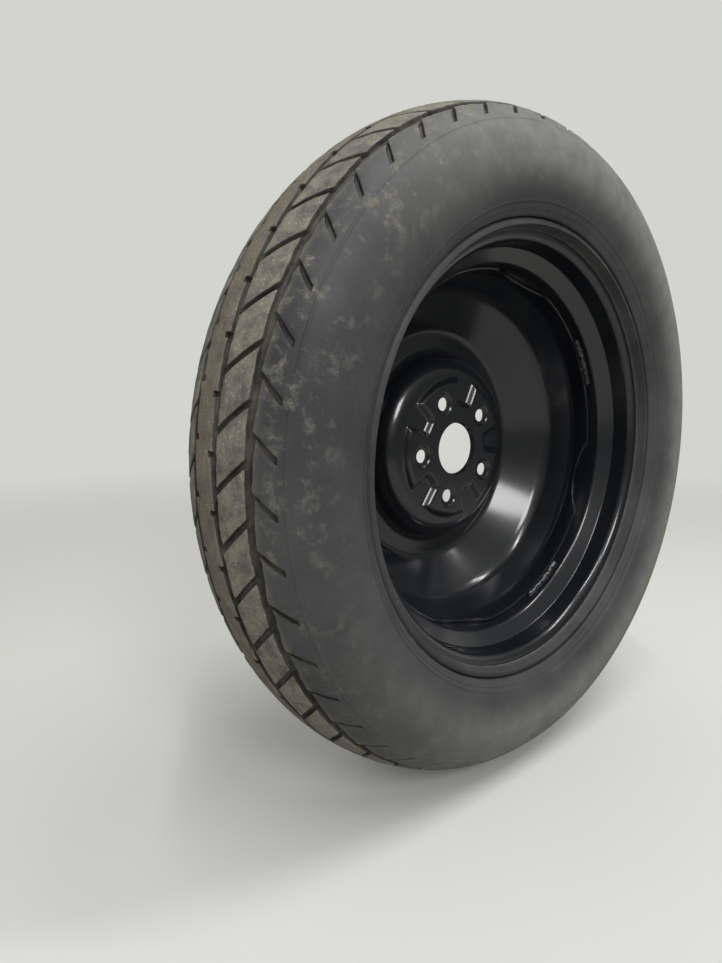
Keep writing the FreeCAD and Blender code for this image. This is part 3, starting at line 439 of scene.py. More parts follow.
def tread_row(side, y, groove):
    """Angles, radii, axial places and depths of one ring of tread points; side is -1 on the hub side."""
    cross, second = slot_turns(y)
    if side > 0:
        # The far side is the hub side turned half round, so its order runs the other way
        cross, second = FAR_SIDE_TURN - second + 2 * PITCH, FAR_SIDE_TURN - cross + 2 * PITCH
    radius = tread_surface(y)[0]
    cross_deep = CROSS_SLOT_DEPTH * (BLOCK_EDGE <= y <= BLOCK_END)
    notch_end = [NOTCH_START, NOTCH_START + WALL_RUN]
    notch_deep = NOTCH_DEPTH * float(np.interp(y, notch_end, [NOTCH_END_DEPTH, 1.0]))
    notch_deep *= NOTCH_START <= y <= RIB_EDGE
    shoulder_deep = float(np.interp(
        y,
        [SHOULDER_SLOT_END - SHOULDER_SLOT_FOOT, SHOULDER_SLOT_END - SHOULDER_SLOT_FOOT / 2],
        [SHOULDER_SLOT_DEPTH, 0.0],
    ))
    shoulder_deep *= SHOULDER_EDGE <= y
    second_width = NOTCH_WIDTH if y < BLOCK_EDGE else SHOULDER_SLOT_WIDTH
    second_deep = max(notch_deep, shoulder_deep)
    if side < 0:
        groups = ((cross, CROSS_SLOT_WIDTH, cross_deep), (second, second_width, second_deep))
    else:
        groups = ((cross, second_width, second_deep), (second, CROSS_SLOT_WIDTH, cross_deep))
    angles = []
    depths = []
    for number, (centre, width, deep) in enumerate(groups):
        for place in SLOT_COLUMNS:
            angles.append(centre + math.degrees(place * width / 2 / radius))
            depths.append(max(groove, deep * slot_wall(place)))
        next_centre, next_width, _ = groups[1 - number]
        last = angles[-1]
        first = next_centre + PITCH * number + math.degrees(SLOT_COLUMNS[0] * next_width / 2 / radius)
        for share in GAP_COLUMNS:
            angles.append(last + (first - last) * share)
            depths.append(groove)
    angles = np.array(angles)
    depths = np.array(depths)
    # Sawtooth edges: they stand out just before each notch or shoulder slot and step back after it
    saw = ((angles - (second if side < 0 else cross)) / PITCH) % 1.0
    if side > 0:
        saw = 1.0 - saw
    near_rib = float(np.interp(
        y,
        [NOTCH_START, RIB_EDGE - SAW_TOP, RIB_EDGE + SAW_FOOT, BLOCK_EDGE - SAW_CLEAR],
        [0, 1, 1, 0],
    ))
    near_shoulder = float(np.interp(
        y - SHOULDER_EDGE,
        [BLOCK_END + SAW_CLEAR - SHOULDER_EDGE, -SAW_FOOT, SAW_TOP, SAW_REACH],
        [0, 1, 1, 0],
    ))
    place = np.tile(y + SAW_EDGE * (saw - 0.5) * (near_rib - near_shoulder), PITCHES)
    depths = np.tile(depths, PITCHES)
    turns = np.concatenate([angles + PITCH * n for n in range(PITCHES)])
    # Worn rubber: edges wander a little and the tops aren't quite even
    on_tread = 1.0 - float(smooth(SHOULDER_EDGE + SAW_REACH, SHOULDER_SLOT_END, y))
    place += on_tread * RAGGED_EDGE * wander(turns, side * y, RAGGED_WAVES_PER_DEGREE)
    worn_depths = depths + on_tread * WAVY_TOP * wander(turns, side * y, WAVY_WAVES_PER_DEGREE)
    radius, lean_r, lean_y = tread_surface(place)
    ring_r = radius - lean_r * worn_depths
    ring_y = side * (place - lean_y * worn_depths)
    return turns, ring_r, ring_y + MIDDLE_Y, depths


# Points along the shoulder's arc and along the lower flank's
SHOULDER_POINTS = 15
LOWER_POINTS = 20


def sidewall_path():
    """Half section from the shoulder slots' end to the ledge over the rim's flange."""
    points = []
    start = math.asin((SHOULDER_SLOT_END - SHOULDER_CENTRE_Y) / SHOULDER_ARC)
    for lean in np.linspace(start, math.pi / 2, SHOULDER_POINTS):
        points.append((SHOULDER_CENTRE_R + SHOULDER_ARC * math.cos(lean),
                       SHOULDER_CENTRE_Y + SHOULDER_ARC * math.sin(lean)))
    height = SHOULDER_CENTRE_R - FLANGE_RADIUS - BEAD_GAP
    lower_arc = (height ** 2 + SIDEWALL_TUCK ** 2) / (2 * SIDEWALL_TUCK)
    for lean in np.linspace(0, math.asin(height / lower_arc), LOWER_POINTS)[1:]:
        points.append((SHOULDER_CENTRE_R - lower_arc * math.sin(lean),
                       HALF_SECTION - lower_arc * (1 - math.cos(lean))))
    return np.array(points)


# Moulded ridge lines of the sidewall: radius, height and half width
RIDGES = ((316.5, 0.55, 0.9), (247.0, 0.4, 0.8), (241.5, 0.4, 0.8))
# Where a ridge starts to rise and where its top begins, in half widths
RIDGE_FOOT = 1.6
RIDGE_TOP = 0.7


def with_ridges(points):
    """The sidewall's section with its moulded ridge lines."""
    rows = [tuple(p) for p in points]
    for radius, height, half in RIDGES:
        foot = half * RIDGE_FOOT
        top = half * RIDGE_TOP
        for place, rise in ((foot, 0.0), (top, height), (-top, height), (-foot, 0.0)):
            r = radius + place
            i = next(k for k in range(len(points) - 1) if points[k][0] >= r >= points[k + 1][0])
            share = (points[i][0] - r) / (points[i][0] - points[i + 1][0])
            way = points[i + 1] - points[i]
            base = points[i] + way * share
            way /= np.linalg.norm(way)
            rows.append(tuple(base + np.array([way[1], -way[0]]) * rise))
    return np.array(sorted(rows, key=lambda p: -p[0]))


def bead_path(ledge_y):
    """Half section of the bead on the rim and of the liner, as far as the liner's crown."""
    ledge_r = FLANGE_RADIUS + BEAD_GAP
    seat_r = RIM_RADIUS + BEAD_GAP
    bead_face = FLANGE_FACE - BEAD_GAP
    toe_r = seat_r - BEAD_WIDTH * math.tan(math.radians(SEAT_TAPER))
    return rounded_path([
        (ledge_r, ledge_y, 0),
        (ledge_r, bead_face, FLANGE_CURL + BEAD_GAP),
        (seat_r, bead_face, BEAD_ROOT + BEAD_GAP),
        (toe_r, bead_face - BEAD_WIDTH, 0),
        (ledge_r, ledge_y - BEAD_GAUGE, 0),
        (SHOULDER_CENTRE_R, HALF_SECTION - SIDEWALL_GAUGE, 0),
        (CROWN_RADIUS - 2 * CROWN_GAUGE, SHOULDER_START, 0),
        (CROWN_RADIUS - CROWN_GAUGE, RIB_EDGE, 0),
    ], step=18.0)[1:]


def build_tyre():
    """One closed mesh: tread with blocks, grooves and slots, sidewalls with ridges, beads and liner."""
    rows = [(-1, y, groove) for y, groove in TREAD_ROWS[::-1]]
    rows += [(1, y, groove) for y, groove in TREAD_ROWS[1:]]
    tread = []
    depth = []
    for side, y, groove in rows:
        turns, r, place, deep = tread_row(side, y, groove)
        tread.append(ring_points(r, place, turns))
        depth.append(deep)
    flanks = []
    for side in (-1, 1):
        turns = tread_row(side, SHOULDER_SLOT_END, 0.0)[0][::TREAD_TO_SIDE]
        even = turns[0] + even_turns(len(turns))
        section = with_ridges(sidewall_path())[1:]
        flank = []
        for row, (r, y) in enumerate(section, start=1):
            share = min(1.0, row / RELAX_ROWS)
            flank.append(ring_points(r, side * y + MIDDLE_Y, turns + (even - turns) * share))
        for r, y in bead_path(section[-1][1]):
            flank.append(ring_points(r, side * y + MIDDLE_Y, even[::SIDE_TO_LINER]))
        flanks.append(flank)
    hub_flank, far_flank = flanks
    piece = make_piece("tyre_body", (hub_flank[::-1] + tread + far_flank, True))
    depth.insert(0, np.zeros(sum(len(ring) for ring in hub_flank)))
    depth.append(np.zeros(sum(len(ring) for ring in far_flank)))
    add_float(piece, "groove_depth", np.concatenate(depth))
    shade(piece, sharp_angle=42)
    return piece


# Rim

RIM_COLUMNS = 288
HOLE_COLUMNS = 48


def rim_path():
    """The rim's tyre side, from the outer lip to the hub-side lip."""
    taper = math.tan(math.radians(SEAT_TAPER))
    lip = FLANGE_FACE + FLANGE_OVERHANG - RIM_GAUGE / 2
    outer_seat_end = FLANGE_FACE - OUTER_SEAT
    hub_seat_end = HUB_SEAT - FLANGE_FACE
    return rounded_path([
        (FLANGE_RADIUS, lip, 0),
        (FLANGE_RADIUS, FLANGE_FACE, FLANGE_CURL),
        (RIM_RADIUS, FLANGE_FACE, BEAD_ROOT),
        (RIM_RADIUS - OUTER_SEAT * taper, outer_seat_end, SEAT_BEND),
        (WELL_RADIUS, outer_seat_end - OUTER_WELL_RUN, WELL_BEND),
        (WELL_RADIUS, hub_seat_end + HUB_WELL_RUN, WELL_BEND),
        (RIM_RADIUS - HUB_SEAT * taper, hub_seat_end, SEAT_BEND),
        (RIM_RADIUS, -FLANGE_FACE, BEAD_ROOT),
        (FLANGE_RADIUS, -FLANGE_FACE, FLANGE_CURL),
        (FLANGE_RADIUS, -lip, 0),
    ])


def valve_hole_cutter():
    """Round bar on the valve's axis, square to the well's outer wall at the top of the wheel."""
    seat_y = FLANGE_FACE - OUTER_SEAT
    seat_r = RIM_RADIUS - OUTER_SEAT * math.tan(math.radians(SEAT_TAPER))
    middle = Vector((0, MIDDLE_Y + seat_y - OUTER_WELL_RUN / 2, (seat_r + WELL_RADIUS) / 2)) * MM
    axis = Vector((0, seat_r - WELL_RADIUS, -OUTER_WELL_RUN)).normalized()
    across = Vector((1, 0, 0))
    up = axis.cross(across)
    rings = []
    for place in (-4 * RIM_GAUGE, 4 * RIM_GAUGE):
        ring = []
        for turn in np.radians(even_turns(HOLE_COLUMNS)):
            around = across * math.cos(turn) + up * math.sin(turn)
            ring.append(middle + (axis * place + around * VALVE_HOLE_RADIUS) * MM)
        rings.append(np.array(ring))
    return make_piece("valve_hole", (rings, False))


def build_rim():
    """Rolled steel band with rolled lips, bead seats, well and valve hole."""
    rings = []
    for r, y in sheet_section(rim_path(), RIM_GAUGE):
        rings.append(ring_points(r, y + MIDDLE_Y, even_turns(RIM_COLUMNS)))
    piece = make_piece("rim_band", (rings, True))
    cut_away(piece, valve_hole_cutter())
    shade(piece, sharp_angle=40)
    return piece


# Wheel disc

DISC_COLUMNS = 240
PAD_COLUMNS = 480
LUG_COLUMNS = 64
PAD_ROW_STEP = 1.2
PAD_ZONE = (40.0, 90.0)


def disc_path():
    """The disc's hub side, from the skirt's edge to just short of the bore, with fine rows on the pad."""
    path = rounded_path([
        (SKIRT_INSIDE, SKIRT_EDGE + DISC_GAUGE / 2, 0),
        (SKIRT_INSIDE, SKIRT_TOP, SKIRT_BEND),
        (BROW_RADIUS, BROW_DEPTH, BROW_BEND),
        (BOWL_OUTER, BOWL_DEPTH, BOWL_OUTER_BEND),
        (BOWL_INNER, BOWL_DEPTH, BOWL_INNER_BEND),
        (PLATEAU_RADIUS, PLATEAU_DEPTH, PLATEAU_BEND),
        (PLATEAU_EDGE, PLATEAU_DEPTH, FOOT_BEND),
        (PAD_RADIUS, 0.0, PAD_BEND),
        (BORE_RADIUS + BORE_COLLAR, 0.0, 0),
    ], step=7.0)
    fine = [path[0]]
    for a, b in zip(path[:-1], path[1:]):
        on_pad = PAD_ZONE[0] < max(a[0], b[0]) and min(a[0], b[0]) < PAD_ZONE[1]
        count = math.ceil(np.linalg.norm(b - a) / PAD_ROW_STEP) if on_pad else 1
        fine += [a + (b - a) * k / count for k in range(1, count + 1)]
    return np.array(fine)


def bore_path():
    """The bore's wall and its collar, from the hub side to the outer side."""
    collar = BORE_RADIUS + BORE_COLLAR
    return rounded_path([
        (collar, 0.0, 0),
        (BORE_RADIUS, 0.0, BORE_ROUND),
        (BORE_RADIUS, BORE_DEPTH, COLLAR_ROUND),
        (collar, BORE_DEPTH, COLLAR_ROUND),
        (collar, DISC_GAUGE, 0),
    ], step=15.0)[1:-1]


def skirt_lift(angles):
    """How far the scallops raise the skirt's edge."""
    radius = (SCALLOP_HALF_WIDTH ** 2 + SCALLOP_DEPTH ** 2) / (2 * SCALLOP_DEPTH)
    step = 360.0 / SCALLOPS
    away = (angles - SCALLOP_PHASE + step / 2) % step - step / 2
    x = np.clip(SKIRT_INSIDE * np.sin(np.radians(away)), -SCALLOP_HALF_WIDTH, SCALLOP_HALF_WIDTH)
    return SCALLOP_DEPTH - radius + np.sqrt(radius ** 2 - x ** 2)


def pad_press(r, base, angles, hub_side):
    """How far the pockets and lug dimples press the hub pad outwards, from its level at that radius."""
    step = 360.0 / LUGS
    from_lug = np.radians((angles - LUG_PHASE + step / 2) % step - step / 2)
    from_pocket = np.radians((angles - LUG_PHASE) % step - step / 2)
    along = r * np.cos(from_pocket)
    half = np.interp(along, [POCKET_START, PLATEAU_EDGE], [POCKET_INNER_HALF, POCKET_OUTER_HALF])
    wall = 1 - smooth(half, half + POCKET_WALL, np.abs(r * np.sin(from_pocket)))
    pocket = PLATEAU_DEPTH * wall * smooth(POCKET_START, POCKET_START + POCKET_WALL, along)
    away = np.hypot(r * np.cos(from_lug) - LUG_CIRCLE, r * np.sin(from_lug))
    dimple = LUG_DIMPLE_DEPTH * (1 - smooth(LUG_DIMPLE_RADIUS - LUG_DIMPLE_WALL, LUG_DIMPLE_RADIUS, away))
    if hub_side:
        dimple += LUG_LIP_DEPTH * (1 - smooth(LUG_HOLE_RADIUS, LUG_HOLE_RADIUS + LUG_LIP_RUN, away))
    return np.maximum(0.0, pocket - base) + dimple


def lug_cutter(number):
    """Lug hole with the nut's cone on the outer side."""
    turn = math.radians(LUG_PHASE + number * 360.0 / LUGS)
    centre = np.array([math.cos(turn), 0, math.sin(turn)]) * LUG_CIRCLE * MM
    seat = DISC_GAUGE + LUG_DIMPLE_DEPTH
    drop = (LUG_SEAT_RADIUS - LUG_HOLE_RADIUS) / math.tan(math.radians(LUG_SEAT_HALF_ANGLE))
    section = (
        (LUG_HOLE_RADIUS, -DISC_GAUGE),
        (LUG_HOLE_RADIUS, seat - drop),
        (LUG_SEAT_RADIUS, seat),
        (LUG_SEAT_RADIUS, 4 * DISC_GAUGE),
    )
    rings = [ring_points(r, y, even_turns(LUG_COLUMNS)) + centre for r, y in section]
    return make_piece("lug_hole", (rings, False))


def build_disc():
    """Steel pressing: scalloped skirt, bowl, hub pad with pockets, dimpled lug holes and collared bore."""
    path = disc_path()
    pad = path[path[:, 0] < PLATEAU_RADIUS][::-1]
    back = offset_path(path, DISC_GAUGE)
    section = np.concatenate([path, bore_path(), back[::-1], round_edge(path, back, 0, 1)[::-1]])
    skirt_top = SKIRT_TOP - DISC_GAUGE
    rings = []
    for row, (r, y) in enumerate(section):
        hub_side = row < len(path)
        angles = even_turns(PAD_COLUMNS if hub_side and r < PLATEAU_RADIUS else DISC_COLUMNS)
        level = np.full(len(angles), y)
        if y < skirt_top:
            level += skirt_lift(angles) * (skirt_top - y) / (skirt_top - SKIRT_EDGE)
        if PAD_ZONE[0] < r < PAD_ZONE[1]:
            level += pad_press(r, np.interp(r, pad[:, 0], pad[:, 1]), angles, hub_side)
        rings.append(ring_points(r, level, angles))
    piece = make_piece("disc_pressing", (rings, True))
    for number in range(LUGS):
        cut_away(piece, lug_cutter(number))
    shade(piece, sharp_angle=42)
    return piece


# Weld beads

WELD_STEPS = 90
WELD_SIDES = 8
# Steps through the noise round a bead, and from one bead to the next
LUMP_ROUND_STEP = 1.4
LUMP_BEAD_STEP = 7.3


def weld_rings(number):
    """One lumpy fillet bead between the skirt's edge and the well, thinning out at both ends."""
    wall = WELL_RADIUS - RIM_GAUGE
    middle = WELD_PHASE + number * 360.0 / WELDS
    rings = []
    for step in range(WELD_STEPS + 1):
        share = step / WELD_STEPS
        angle = middle + (share - 0.5) * WELD_SPAN
        end = float(smooth(0.0, WELD_FADE_SHARE, share) * smooth(1.0, 1.0 - WELD_FADE_SHARE, share))
        ripple = 1 + WELD_RIPPLE_SHARE * math.sin(2 * math.pi * share * WELD_RIPPLES)
        ring = []
        for k in range(WELD_SIDES + 1):
            lean = math.pi / 2 * k / WELD_SIDES
            place = (angle * WELD_LUMPS_PER_DEGREE, lean * LUMP_ROUND_STEP, number * LUMP_BEAD_STEP)
            swell = end * ripple * (WELD_SWELL + WELD_LUMP * noise.noise(Vector(place)))
            r = wall - DISC_GAUGE * math.cos(lean) * swell
            y = SKIRT_EDGE - WELD_LEG * math.sin(lean) * swell
            ring.append(ring_points(r, y, np.array([angle]))[0])
        ring.append(ring_points(wall, SKIRT_EDGE, np.array([angle]))[0])
        rings.append(np.array(ring))
    return rings


def build_welds():
    """The four arc-weld beads that hold the disc in the rim."""
    piece = make_piece("weld_beads", *[(weld_rings(n), False) for n in range(WELDS)])
    shade(piece, sharp_angle=60)
    return piece


tyre = build_tyre()
dress(tyre, "tyre")
rim = build_rim()
dress(rim, "rim")
disc = build_disc()
dress(disc, "wheel_disc")
welds = build_welds()
dress(welds, "disc_welds")


# Materials

# The scale of each pattern is one over the size of its marks. The tyre's grain and the paint's orange
# peel and dust are finer in truth and drawn this coarse to show; marks on the valve show only close by.
# Tyre: drifts of tone, patches of film, scraped dust, grit, fine dirt, grain and streaks on the rib
CLOUD = 91.0
PATCH = 22.2
SCRAPE = 16.7
GRIT = 2.78
DIRT = 2.0
RUBBER_GRAIN = 0.625
STREAK_LENGTH = 50.0
STREAK_WIDTH = 1.11
# Paint: duller areas, orange peel and dust
HAZE = 50.0
PEEL = 8.33
DUST = 1.11
# Valve: grain of the rubber, tool marks on the metal and scuffs on the plastic
VALVE_GRAIN = 0.333
TOOL_MARK = 0.167
SCUFF = 0.91
# Floor: faint patches
FLOOR_PATCH = 333.3

# Where the film with its painted sheen, the smears and the dust on the tyre are faintest, and where they
# are full
PAINTED_SHEEN_RADII = (250.0, 288.0)
PAINTED_LIGHT_TO_RIGHT = (-300.0, -20.0)
SMEAR_RADII = (255.0, 325.0)
SMEAR_UPWARDS = (-150.0, 200.0)
DUST_ACROSS = (58.0, 48.0)


def add(tree, kind, inputs=None, **properties):
    """Add a node, set or link its inputs, and return its first output in use. Inputs of a Map Range
    are the value (0), the range that it comes from (1, 2) and the range that it goes to (3, 4)."""
    node = tree.nodes.new("ShaderNode" + kind)
    for name, value in properties.items():
        setattr(node, name, value)
    for name, value in (inputs or {}).items():
        if isinstance(name, int):
            socket = node.inputs[name]
        else:
            socket = next(s for s in node.inputs if s.name == name and s.enabled)
        if isinstance(value, bpy.types.NodeSocket):
            tree.links.new(value, socket)
        else:
            socket.default_value = value
    return next((s for s in node.outputs if s.enabled), None)


def new_material(name):
    """An empty material and its node tree."""
    material = bpy.data.materials.new(name)
    material.use_nodes = True
    material.node_tree.nodes.clear()
    return material, material.node_tree


def in_millimetres(tree):
    """A point's place on the wheel, in millimetres."""
    place = add(tree, "TexCoord").node.outputs["Object"]
    return add(tree, "VectorMath", {0: place, "Scale": 1 / MM}, operation="SCALE")


def tyre_rubber():
    """Carbon-black rubber, moulded, cured and then stored for years: a dull grey skin with patches of dry
    film and a painted sheen that pales the bulging flanks and their right side, tan road dust and grit on
    what touches the road, brown streaks on the rib, and a darker tone with packed dirt down in the
    grooves."""
    material, tree = new_material("tyre_rubber")
    place = in_millimetres(tree)
    x, y, z = add(tree, "SeparateXYZ", {0: place}).node.outputs
    across = add(tree, "Math", {0: y, 1: MIDDLE_Y}, operation="SUBTRACT")
    across = add(tree, "Math", {0: across}, operation="ABSOLUTE")
    flat = add(tree, "VectorMath", {0: place, 1: (1, 0, 1)}, operation="MULTIPLY")
    radius = add(tree, "VectorMath", {0: flat}, operation="LENGTH")
    depth = add(tree, "Attribute", attribute_name="groove_depth").node.outputs["Fac"]

    cloud = add(tree, "TexNoise", {"Vector": place, "Scale": 1 / CLOUD, "Detail": 5.0, "Roughness": 0.55})
    patch = add(tree, "TexNoise", {"Vector": place, "Scale": 1 / PATCH, "Detail": 7.0, "Roughness": 0.66})
    fine = add(tree, "TexNoise", {"Vector": place, "Scale": 1 / DIRT, "Detail": 4.0, "Roughness": 0.65})
    grain = add(tree, "TexNoise", {
        "Vector": place, "Scale": 1 / RUBBER_GRAIN, "Detail": 3.0, "Roughness": 0.6,
    })
    stretch = (1 / STREAK_LENGTH, 1 / STREAK_WIDTH, 1 / STREAK_LENGTH)
    round_about = add(tree, "VectorMath", {0: place, 1: stretch}, operation="MULTIPLY")
    streak = add(tree, "TexNoise", {"Vector": round_about, "Scale": 1.0, "Detail": 4.0, "Roughness": 0.65})
    grit_cells = add(tree, "TexVoronoi", {"Vector": place, "Scale": 1 / GRIT}, feature="F1")
    scrape = add(tree, "TexNoise", {
        "Vector": place, "Scale": 1 / SCRAPE, "Detail": 9.0, "Roughness": 0.72, "Distortion": 0.3,
    })

    # Skin of the flanks: patches of dry film with a painted sheen, palest on the bulging flank, darker by
    # the rim and on the left
    painted_right_light = add(tree, "MapRange", {
        0: x, 1: PAINTED_LIGHT_TO_RIGHT[0], 2: PAINTED_LIGHT_TO_RIGHT[1],
    }, interpolation_type="SMOOTHSTEP")
    tone = add(tree, "MapRange", {0: cloud, 1: 0.35, 2: 0.65})
    skin = add(tree, "Mix", {
        "Factor": tone, "A": linear("#444447"), "B": linear("#585859"),
    }, data_type="RGBA")
    painted_bulging_sheen = add(tree, "MapRange", {
        0: radius, 1: PAINTED_SHEEN_RADII[0], 2: PAINTED_SHEEN_RADII[1],
    }, interpolation_type="SMOOTHSTEP")
    film_and_painted_sheen = add(tree, "MapRange", {0: patch, 1: 0.3, 2: 0.7, 3: 0.55, 4: 1.0})
    film_and_painted_sheen = add(tree, "Math", {0: film_and_painted_sheen, 1: painted_bulging_sheen}, operation="MULTIPLY")
    film_and_painted_sheen = add(tree, "Math", {0: film_and_painted_sheen, 1: painted_right_light}, operation="MULTIPLY")
    skin = add(tree, "Mix", {"Factor": film_and_painted_sheen, "A": skin, "B": linear("#8b8b88")}, data_type="RGBA")

    # Dust on what touches the road, with smears that reach over the shoulder and down the flank
    top = add(tree, "MapRange", {0: depth, 1: 0.2, 2: 1.2, 3: 1.0, 4: 0.0})
    tread = add(tree, "MapRange", {
        0: across, 1: DUST_ACROSS[1], 2: DUST_ACROSS[0], 3: 1.0, 4: 0.0,
    }, interpolation_type="SMOOTHSTEP")
    shoulder = add(tree, "MapRange", {
        0: radius, 1: SMEAR_RADII[0], 2: SMEAR_RADII[1], 3: 0.12, 4: 1.0,
    }, interpolation_type="SMOOTHSTEP")
    dusting = add(tree, "MapRange", {0: scrape, 1: 0.38, 2: 0.6, 3: 0.3, 4: 1.0})
    dusting = add(tree, "Math", {0: dusting, 1: tread}, operation="MULTIPLY")
    smear = add(tree, "MapRange", {0: scrape, 1: 0.52, 2: 0.66, 3: 0.0, 4: 0.75})
    smear = add(tree, "Math", {0: smear, 1: shoulder}, operation="MULTIPLY")
    upper = add(tree, "MapRange", {0: z, 1: SMEAR_UPWARDS[0], 2: SMEAR_UPWARDS[1], 3: 0.35, 4: 1.0})
    smear = add(tree, "Math", {0: smear, 1: upper}, operation="MULTIPLY")
    dusting = add(tree, "Math", {0: dusting, 1: smear}, operation="MAXIMUM")
    dusting = add(tree, "Math", {0: dusting, 1: top}, operation="MULTIPLY")
    dust = add(tree, "Mix", {
        "Factor": fine, "A": linear("#7f7b70"), "B": linear("#b0aa9a"),
    }, data_type="RGBA")
    colour = add(tree, "Mix", {"Factor": dusting, "A": skin, "B": dust}, data_type="RGBA")

    # Rib, worn brown in streaks along the way it rolls
    rib = add(tree, "MapRange", {0: across, 1: RIB_EDGE, 2: RIB_EDGE + 1.0, 3: 1.0, 4: 0.0})
    worn = add(tree, "MapRange", {0: streak, 1: 0.36, 2: 0.62, 3: 0.0, 4: 0.9})
    worn = add(tree, "Math", {0: worn, 1: rib}, operation="MULTIPLY")
    worn = add(tree, "Math", {0: worn, 1: top}, operation="MULTIPLY")
    colour = add(tree, "Mix", {"Factor": worn, "A": colour, "B": linear("#8a7d6d")}, data_type="RGBA")

    # Darker down in the grooves, with packed dirt, and bright grit on top
    deep = add(tree, "MapRange", {0: depth, 1: 0.5, 2: 2.0})
    dirt = add(tree, "MapRange", {0: patch, 1: 0.4, 2: 0.65})
    groove_tone = add(tree, "Mix", {
        "Factor": dirt, "A": linear("#403f3e"), "B": linear("#68635a"),
    }, data_type="RGBA")
    colour = add(tree, "Mix", {"Factor": deep, "A": colour, "B": groove_tone}, data_type="RGBA")
    speck = add(tree, "MapRange", {0: grit_cells, 1: 0.16, 2: 0.28, 3: 1.0, 4: 0.0})
    some = add(tree, "MapRange", {0: fine, 1: 0.47, 2: 0.56})
    speck = add(tree, "Math", {0: speck, 1: some}, operation="MULTIPLY")
    speck = add(tree, "Math", {0: speck, 1: dusting}, operation="MULTIPLY")
    colour = add(tree, "Mix", {"Factor": speck, "A": colour, "B": linear("#d6d0bf")}, data_type="RGBA")

    dull = add(tree, "MapRange", {0: dusting, 1: 0.0, 2: 0.6, 3: 0.52, 4: 0.85})
    height = add(tree, "Math", {0: grain, 1: 0.25, 2: fine}, operation="MULTIPLY_ADD")
    height = add(tree, "Math", {0: speck, 1: 0.8, 2: height}, operation="MULTIPLY_ADD")
    height = add(tree, "Math", {0: worn, 1: 1.2, 2: height}, operation="MULTIPLY_ADD")
    normal = add(tree, "Bump", {"Height": height, "Strength": 0.5, "Distance": 0.5 * MM})
    shader = add(tree, "BsdfPrincipled", {
        "Base Color": colour, "Roughness": dull, "Specular IOR Level": 0.4, "Normal": normal,
    })
    add(tree, "OutputMaterial", {"Surface": shader})
    return material


def black_paint(name, lumps):
    """Gloss black enamel, dipped and stoved on bare pressed steel: a deep blue-black with a soft sheen,
    whose smooth skin, drawn as a clear coat, mirrors the lamps in thin lines on the bends; with faint
    orange peel and a little dust. On welds the lumps of the bead show through it."""
    material, tree = new_material(name)
    place = in_millimetres(tree)
    peel = add(tree, "TexNoise", {"Vector": place, "Scale": 1 / PEEL, "Detail": 2.0, "Roughness": 0.5})
    haze = add(tree, "TexNoise", {"Vector": place, "Scale": 1 / HAZE, "Detail": 5.0, "Roughness": 0.6})
    dust = add(tree, "TexNoise", {"Vector": place, "Scale": 1 / DUST, "Detail": 4.0, "Roughness": 0.7})
    dusty = add(tree, "MapRange", {0: dust, 1: 0.62, 2: 0.8, 3: 0.0, 4: 0.10})
    colour = add(tree, "Mix", {
        "Factor": dusty, "A": linear("#10131a"), "B": linear("#8a8880"),
    }, data_type="RGBA")
    gloss = add(tree, "MapRange", {0: haze, 1: 0.35, 2: 0.7, 3: 0.3, 4: 0.42})
    normal = add(tree, "Bump", {"Height": peel, "Strength": lumps, "Distance": 0.4 * MM})
    shader = add(tree, "BsdfPrincipled", {
        "Base Color": colour, "Roughness": gloss, "Specular IOR Level": 0.4, "Normal": normal,
        "Coat Weight": 1.0, "Coat Roughness": 0.14, "Coat IOR": 1.65, "Coat Normal": normal,
    })
    add(tree, "OutputMaterial", {"Surface": shader})
    return material


def plain_rubber(name, tint):
    """Moulded rubber of the valve: an even dull skin with a fine grain."""
    material, tree = new_material(name)
    place = in_millimetres(tree)
    grain = add(tree, "TexNoise", {"Vector": place, "Scale": 1 / VALVE_GRAIN, "Detail": 3.0})
    tone = add(tree, "Mix", {"Factor": grain, "A": linear(tint), "B": linear("#4a4845")}, data_type="RGBA")
    tone = add(tree, "Mix", {"Factor": 0.3, "A": linear(tint), "B": tone}, data_type="RGBA")
    normal = add(tree, "Bump", {"Height": grain, "Strength": 0.3, "Distance": 0.05 * MM})
    shader = add(tree, "BsdfPrincipled", {"Base Color": tone, "Roughness": 0.6, "Normal": normal})
    add(tree, "OutputMaterial", {"Surface": shader})
    return material


def turned_metal(name, tint):
    """Bare metal off the lathe or drawn as wire: bright, with fine tool marks that blur its shine."""
    material, tree = new_material(name)
    place = in_millimetres(tree)
    marks = add(tree, "TexNoise", {"Vector": place, "Scale": 1 / TOOL_MARK, "Detail": 4.0})
    rough = add(tree, "MapRange", {0: marks, 3: 0.2, 4: 0.45})
    shader = add(tree, "BsdfPrincipled", {"Base Color": linear(tint), "Metallic": 1.0, "Roughness": rough})
    add(tree, "OutputMaterial", {"Surface": shader})
    return material


def moulded_plastic():
    """Black moulded plastic of the valve's cap: satin, with faint scuffs."""
    material, tree = new_material("cap_plastic")
    place = in_millimetres(tree)
    scuff = add(tree, "TexNoise", {"Vector": place, "Scale": 1 / SCUFF, "Detail": 5.0})
    rough = add(tree, "MapRange", {0: scuff, 3: 0.32, 4: 0.6})
    tone = add(tree, "Mix", {
        "Factor": scuff, "A": linear("#151516"), "B": linear("#232324"),
    }, data_type="RGBA")
    shader = add(tree, "BsdfPrincipled", {"Base Color": tone, "Roughness": rough})
    add(tree, "OutputMaterial", {"Surface": shader})
    return material


tyre.data.materials.append(tyre_rubber())
rim.data.materials.append(black_paint("rim_paint", lumps=0.05))
disc.data.materials.append(black_paint("disc_paint", lumps=0.05))
welds.data.materials.append(black_paint("weld_paint", lumps=0.5))

